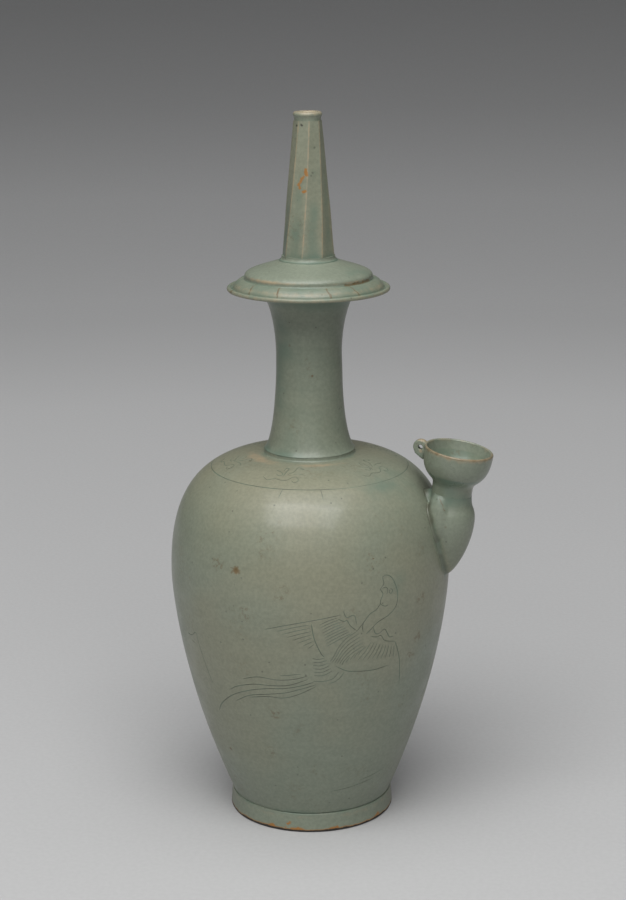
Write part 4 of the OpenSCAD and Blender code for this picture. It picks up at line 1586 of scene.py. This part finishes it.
# Block of the body that is worked together with the bulb: its size, and its place from the bulb's middle
BLOCK_SIZE = Vector((50, 56, 76)) * MM
BLOCK_PLACE = Vector((-12, 0, -14)) * MM
# Grain in which the bulb and the block are worked together
BULB_GRAIN = 0.4 * MM
# What the worked bulb draws in, so that the skin of the block lies under that of the body
BULB_DRAW = 0.06 * MM
# What the body's core draws in before it is cut from the bulb
CORE_DRAW = 0.03 * MM


class KUNDIKA_OT_filler_bulb(bpy.types.Operator):
    """Model the bulb of the filler spout and work its joint into the body"""

    bl_idname = "kundika.filler_bulb"
    bl_label = "Filler bulb"

    def execute(self, context):
        s, c, v = section(context)
        view = Matrix.Rotation(math.radians(VIEW_TURN), 3, "Z")

        def beside(right, near, up):
            return v.bulb + view @ Vector((right * MM, -near * MM, up * MM))

        def at_joint(turn, up):
            height = v.bulb_z + up * MM
            return round_body(turn, wall_radius(v.wall, height), height)

        spots = [(beside(*place), reach * MM, strength, c.iron) for place, reach, strength in BULB_SPOTS]
        strokes = line_marks([beside(*place) for place in BULB_CRACK], 0.45, 0.6, c.iron)
        # Painted shade along the joint and in the crotch, in the olive of pooled glaze
        for (turn, up, reach, strength), following in zip(BULB_JOINT_SHADE, BULB_JOINT_SHADE[1:]):
            strokes.append((at_joint(turn, up), at_joint(*following[:2]), reach * MM, strength, c.shade))
        piece = bulb_solid("glazed_bulb", s, v, s.bulb_d / 2, s.bulb_tail_h, s.waist_d / 2)
        coat(piece, [celadon("bulb_glaze", c, spots, strokes)])
        # A block of the body is worked together with the bulb, as if both were one piece of clay
        block = body_core(v)
        bpy.ops.mesh.primitive_cube_add(size=1)
        carve(block, settled(BLOCK_SIZE, v.bulb + BLOCK_PLACE), "INTERSECT")
        carve(piece, block, "UNION")
        for place, radii in SLIP_PADS:
            bpy.ops.mesh.primitive_uv_sphere_add(segments=48, ring_count=24, radius=1)
            carve(piece, settled(Vector(radii) * MM, v.bulb + Vector(place) * MM), "UNION")
        soften(piece, BULB_GRAIN, rounds=20)
        gap = joint_gap(s, v)
        tail_z = v.bulb_z - s.bulb_tail_h

        def worked(co):
            share = min(1.0, max(0.0, (co.z - tail_z) / (0.8 * s.bulb_tail_h)))
            return fade(gap(co), (0.9 + 0.5 * share) * MM)

        blend(piece, worked, rounds=70)
        swell(piece, -BULB_DRAW)
        edit(piece)
        bpy.ops.mesh.bisect(
            plane_co=v.joint, plane_no=(math.sin(s.cup_tilt), 0, math.cos(s.cup_tilt)),
            use_fill=True, clear_outer=True,
        )
        close_edit()
        weld(piece)
        # Known fault: neither of the two cuts below runs, because the worked mesh isn't quite closed.
        # So the bulb stays unbored, and the block stays inside the body.
        inner_tail = s.bulb_tail_h - 2 * s.bulb_wall
        carve(piece, bulb_solid("bore", s, v, s.bulb_d / 2 - s.bulb_wall, inner_tail, s.passage_d / 2))
        core = body_core(v)
        swell(core, -CORE_DRAW)
        carve(piece, core)

        def pool(co):
            return max(0.6 * fade((co - v.joint).z, 6 * MM), JOINT_POOL * fade(gap(co), JOINT_REACH))

        def cool(co):
            from_body = co.xy.length - wall_radius(v.wall, co.z)
            return 0.8 - 0.5 * fade(max(0.0, from_body - 1.5 * MM), 2 * MM)

        paint_glaze(piece, pool, nowhere, cool)
        dress(piece, ["filler_bulb"])
        return {"FINISHED"}


# How much the cup's thin rim is drawn in, because it leans out further than a thick one would
RIM_DRAW = 0.12 * MM
# Directions of the points along which the cup's rim is worn
RIM_WORN = range(-88, 89, 22)


class KUNDIKA_OT_filler_cup(bpy.types.Operator):
    """Model the cup of the filler spout"""

    bl_idname = "kundika.filler_cup"
    bl_label = "Filler cup"

    def execute(self, context):
        s, c, v = section(context)
        rim = s.cup_rim / 2
        rim_h = s.cup_h - rim
        waist = s.waist_d / 2
        stem = spot(waist, s.stem_h)
        edge = s.cup_d / 2 - RIM_DRAW
        pulled = stem + lean(s.bowl_pull, s.bowl_slope)
        curve = (stem, pulled, spot(edge, s.stem_h + s.bowl_pull), spot(edge, rim_h))
        hole = s.passage_d / 2
        floor = s.cup_h - s.bowl_depth
        rim_in = spot(edge - s.cup_rim, rim_h)
        floor_in = spot(hole + 1.2 * MM, floor)
        bowl = (floor_in, floor_in + spot(s.bowl_pull, 0), rim_in - spot(1.5, 6.5) * MM, rim_in)
        piece = thrown("glazed_cup", [
            spot(hole, -LUTE),
            spot(waist - 0.1 * MM, -LUTE),
            spot(waist, 0.6 * MM),
            *corner(spot(waist, 0), stem, curve_points(curve)[4], 2 * MM),
            *curve_points(curve, runs=40)[6:],
            *arc_points(spot(edge - rim, rim_h), rim, 10, 170, runs=14),
            *reversed(curve_points(bowl, runs=40)),
            *corner(floor_in, spot(hole, floor), spot(hole, 0), MM),
        ], "cup")

        def is_inside(co):
            return co.xy.length < s.cup_d / 2 - s.cup_wall

        def pool(co):
            inside = 0.5 + 0.2 * fade(co.z - floor, 3 * MM) if is_inside(co) else 0.0
            return max(0.55 * fade(co.z, 4 * MM), inside)

        paint_glaze(
            piece,
            pool,
            lambda co: 0.85 * fade(co.z - s.cup_h, 2.2 * MM) * (0.4 + 0.6 * fade(facing(co, 0), 80)),
            lambda co: 0.3 if is_inside(co) else 0.8,
        )
        tilted = leaning(v.joint, s.cup_tilt)
        worn = [
            tilted @ round_body(turn, s.cup_d / 2 - 0.4 * rim, s.cup_h - 0.2 * rim) for turn in RIM_WORN
        ]
        strokes = line_marks(worn, 1.8, 0.35, c.iron)
        coat(piece, [celadon("cup_glaze", c, (), strokes, matt=(0.24, 0.36))])
        lean_over(piece, v.joint, s.cup_tilt)
        dress(piece, ["filler_cup"])
        return {"FINISHED"}


# Rounding of the lug's edges and of its root's, and the grain in which both are worked together
LUG_ROUND = 1.1 * MM
ROOT_ROUND = 0.9 * MM
LUG_GRAIN = 0.14 * MM


class KUNDIKA_OT_cup_lug(bpy.types.Operator):
    """Model the pierced lug on the cup's rim"""

    bl_idname = "kundika.cup_lug"
    bl_label = "Cup lug"

    def execute(self, context):
        s, c, v = section(context)
        eye = Vector((-s.cup_d / 2 - s.lug_reach, 0, s.cup_h - s.lug_drop))
        half = s.lug_w / 2
        face, back = spot(0, half), spot(0, -half)
        upper, lower = spot(s.lug_r, half), spot(s.lug_r, -half)
        piece = spin("glazed_lug", [
            back, *corner(back, lower, upper, LUG_ROUND), *corner(lower, upper, face, LUG_ROUND), face,
        ], "lug", closed=False)
        coat(piece, [plain_celadon(c)])
        sideways = (math.pi / 2, 0, 0)
        activate(piece)
        piece.rotation_euler = sideways
        piece.location = eye
        bpy.ops.object.transform_apply(location=True, rotation=True, scale=False)
        # The root: a block whose corners are drawn to the cup's wall, below the lug and up to the rim
        bpy.ops.mesh.primitive_cube_add(size=1)
        root = settled((2 * MM, s.lug_w, 2 * MM), eye)
        wall_x = -s.cup_d / 2 + 0.5 * s.cup_rim
        corners = {
            (-1, -1): (eye.x - 2.9 * MM, eye.z - 3.3 * MM),
            (1, -1): (wall_x, eye.z - s.lug_r - 2.6 * MM),
            (1, 1): (wall_x, s.cup_h - 0.3 * MM),
            (-1, 1): (eye.x - 0.4 * MM, eye.z + s.lug_r - 0.2 * MM),
        }
        for (side, level), (x, z) in corners.items():
            edit(root, "DESELECT")
            mesh = bmesh.from_edit_mesh(root.data)
            start = Vector((eye.x + side * MM, 0, eye.z + level * MM))
            for p in mesh.verts:
                p.select = abs(p.co.x - start.x) < WELD and abs(p.co.z - start.z) < WELD
            mesh.select_flush_mode()
            bmesh.update_edit_mesh(root.data)
            bpy.ops.transform.translate(value=(x - start.x, 0, z - start.z))
            close_edit()
        edit(root)
        bpy.ops.mesh.bevel(offset=ROOT_ROUND, segments=3, affect="EDGES")
        close_edit()
        weld(root)
        carve(piece, root, "UNION")
        bpy.ops.mesh.primitive_cylinder_add(
            radius=s.lug_hole_d / 2, depth=2 * s.lug_w, location=eye, rotation=sideways
        )
        carve(piece, bpy.context.object)
        soften(piece, LUG_GRAIN, rounds=6)
        chip = eye + Vector((0.6 * MM, -half, -1.8 * MM))
        paint_glaze(
            piece,
            lambda co: 0.3 * fade(co.z - eye.z + s.lug_r, 1.2 * MM),
            lambda co: 0.8 * max(
                fade(co.z - eye.z - s.lug_r, 1.1 * MM), fade((co - chip).length, 1.1 * MM)
            ),
        )
        lean_over(piece, v.joint, s.cup_tilt)
        dress(piece, ["cup_lug"])
        return {"FINISHED"}


# Studio

CAMERA_DISTANCE = 979.4 * MM
CAMERA_HEIGHT = 439.5 * MM
CAMERA_PITCH = math.radians(14.28)
CAMERA_YAW = math.radians(-0.1)
CAMERA_ROLL = math.radians(-0.34)
# The lens fits the image's long side at a focal length given in pixels
CAMERA_SENSOR = 36.0
IMAGE_HEIGHT = 900
FOCAL_LENGTH = 1996.3
# The paper's sweep in metres: rings on the level part, radius of the bend, and where it ends
PAPER_RINGS = (0, 0.2, 0.6, 1.2)
PAPER_BEND = 2.2
PAPER_END = (3.6, 2.6)
# Painted light and shade on the paper, in place of the lamps' falloff: metres along the sweep, and the
# share of the tone beside the vessel
PAPER_SHADE_TONES = (
    (0.0, 0.79), (0.33, 0.84), (0.58, 0.92), (0.95, 1.07), (1.52, 1.13), (2.05, 1.0), (2.46, 0.75),
    (2.64, 0.68), (2.9, 0.59), (4.0, 0.5),
)
# Painted shade on the paper: how far it keeps its tone to the sides and towards the camera, where it is
# dark, and the share lost
PAPER_SIDE = (0.55, 1.0)
PAPER_FRONT = (0.35, 0.8)
PAPER_LOSS = 0.65
# Lamps: direction from the view, distance, height, the lamp's width and height, and its power
LAMPS = {
    "softbox": (-10, 1.0, 1.65, 1.9, 1.15, 30),
    "overhead": (0, 0.25, 1.9, 1.6, 1.2, 13),
    "front_fill": (-5, 1.9, 1.0, 2.0, 1.6, 6),
}
LAMP_TARGET = Vector((0, 0, 0.17))
AIR_COLOUR = (0.9, 0.92, 0.95, 1)
AIR_STRENGTH = 0.13


def sweep_material(c):
    """Matt paper with light and shade painted into its tone: it changes along the sweep, and darkens to
    the sides and in front.
    """
    g = Glaze("studio_paper")
    split = g.add("ShaderNodeSeparateXYZ", Vector=g.place)
    flat = g.add("ShaderNodeCombineXYZ", X=split.outputs["X"], Y=split.outputs["Y"])
    away = g.vector("DISTANCE", flat.outputs["Vector"], (0, 0, 0))
    distance = g.math("ADD", away, split.outputs["Z"])
    # Painted light falloff along the sweep
    tones = g.add("ShaderNodeValToRGB")
    reach = PAPER_SHADE_TONES[-1][0]
    g.join(tones.inputs["Fac"], g.math("DIVIDE", distance, reach))
    stops = tones.color_ramp.elements
    while len(stops) < len(PAPER_SHADE_TONES):
        stops.new(0.5)
    for stop, (metres, share) in zip(stops, PAPER_SHADE_TONES):
        stop.position = metres / reach
        stop.color = (c.paper[0] * share, c.paper[1] * share, c.paper[2] * share, 1)
    colour = g.tinged(tones.outputs["Color"], g.uneven(0.98, 1.02, 400.0))
    # Painted shade to the sides and towards the camera
    aside = g.math("ABSOLUTE", g.towards(round_body(90, 1.0, 0.0)), 0.0)
    ahead = g.towards(round_body(0, 1.0, 0.0))
    unlit = g.math("MAXIMUM", g.span(aside, *PAPER_SIDE), g.span(ahead, *PAPER_FRONT))
    colour = g.marked(colour, unlit, PAPER_LOSS, (0.0, 0.0, 0.0))
    grain = (g.noise(900.0, 2.0), 0.1 * MM, 0.1)
    return g.shade(colour, g.uneven(0.85, 0.95, 60.0), [grain])


def area_light(name, place, width, height, power):
    """Adds a soft lamp that points at the vessel."""
    lamp = bpy.data.lights.new(name, "AREA")
    lamp.shape = "RECTANGLE"
    lamp.size = width
    lamp.size_y = height
    lamp.energy = power
    holder = bpy.data.objects.new(name, lamp)
    bpy.context.scene.collection.objects.link(holder)
    holder.location = place
    holder.rotation_euler = (LAMP_TARGET - place).to_track_quat("-Z", "Y").to_euler()


class KUNDIKA_OT_stage(bpy.types.Operator):
    """Set up the paper sweep, the soft lights and the camera"""

    bl_idname = "kundika.stage"
    bl_label = "Stage"

    def execute(self, context):
        c = context.scene.kundika_colours
        bend = spot(PAPER_END[0] - PAPER_BEND, PAPER_BEND)
        paper = spin("paper_sweep", [
            *(spot(radius, 0) for radius in PAPER_RINGS),
            *arc_points(bend, PAPER_BEND, -90, 0, runs=40),
            spot(*PAPER_END),
        ], "paper", closed=False)
        edit(paper)
        bpy.ops.mesh.flip_normals()
        close_edit()
        paper.data.materials.append(sweep_material(c))
        activate(paper)
        bpy.ops.object.shade_smooth()
        for name, (turn, distance, height, *lamp) in LAMPS.items():
            area_light(name, round_body(turn, distance, height), *lamp)
        world = bpy.data.worlds.new("studio_air")
        context.scene.world = world
        world.use_nodes = True
        background = world.node_tree.nodes["Background"]
        background.inputs["Color"].default_value = AIR_COLOUR
        background.inputs["Strength"].default_value = AIR_STRENGTH
        lens = bpy.data.cameras.new("camera")
        lens.sensor_width = CAMERA_SENSOR
        lens.lens = CAMERA_SENSOR * FOCAL_LENGTH / IMAGE_HEIGHT
        holder = bpy.data.objects.new("camera", lens)
        context.scene.collection.objects.link(holder)
        place = Matrix.Translation(round_body(0, CAMERA_DISTANCE, CAMERA_HEIGHT))
        turn = Matrix.Rotation(math.radians(VIEW_TURN) + CAMERA_YAW, 4, "Z")
        tip = Matrix.Rotation(math.pi / 2 - CAMERA_PITCH, 4, "X")
        roll = Matrix.Rotation(CAMERA_ROLL, 4, "Z")
        holder.matrix_world = place @ turn @ tip @ roll
        context.scene.camera = holder
        context.scene.view_settings.view_transform = "Standard"
        return {"FINISHED"}


class KUNDIKA_PT_panel(bpy.types.Panel):
    """Lists the sections of the vessel with their sizes and colours"""

    bl_idname = "KUNDIKA_PT_panel"
    bl_label = "Kundika"
    bl_space_type = "VIEW_3D"
    bl_region_type = "UI"
    bl_category = "Kundika"

    def draw(self, context):
        for operator in OPERATORS:
            self.layout.operator(operator.bl_idname)
        for group in (context.scene.kundika_sizes, context.scene.kundika_colours):
            box = self.layout.box()
            for key in group.__annotations__:
                box.prop(group, key)


OPERATORS = (
    KUNDIKA_OT_foot_ring,
    KUNDIKA_OT_body,
    KUNDIKA_OT_neck_collar,
    KUNDIKA_OT_neck,
    KUNDIKA_OT_flange,
    KUNDIKA_OT_dome,
    KUNDIKA_OT_tube_collar,
    KUNDIKA_OT_tube,
    KUNDIKA_OT_tube_lip,
    KUNDIKA_OT_filler_bulb,
    KUNDIKA_OT_filler_cup,
    KUNDIKA_OT_cup_lug,
    KUNDIKA_OT_stage,
)
CLASSES = (KundikaSizes, KundikaColours, *OPERATORS, KUNDIKA_PT_panel)


def register():
    for cls in CLASSES:
        bpy.utils.register_class(cls)
    bpy.types.Scene.kundika_sizes = PointerProperty(type=KundikaSizes)
    bpy.types.Scene.kundika_colours = PointerProperty(type=KundikaColours)


def unregister():
    del bpy.types.Scene.kundika_colours
    del bpy.types.Scene.kundika_sizes
    for cls in reversed(CLASSES):
        bpy.utils.unregister_class(cls)


def main():
    register()
    bpy.ops.kundika.foot_ring()
    bpy.ops.kundika.body()
    bpy.ops.kundika.neck_collar()
    bpy.ops.kundika.neck()
    bpy.ops.kundika.flange()
    bpy.ops.kundika.dome()
    bpy.ops.kundika.tube_collar()
    bpy.ops.kundika.tube()
    bpy.ops.kundika.tube_lip()
    bpy.ops.kundika.filler_bulb()
    bpy.ops.kundika.filler_cup()
    bpy.ops.kundika.cup_lug()
    bpy.ops.kundika.stage()


if __name__ == "__main__":
    main()
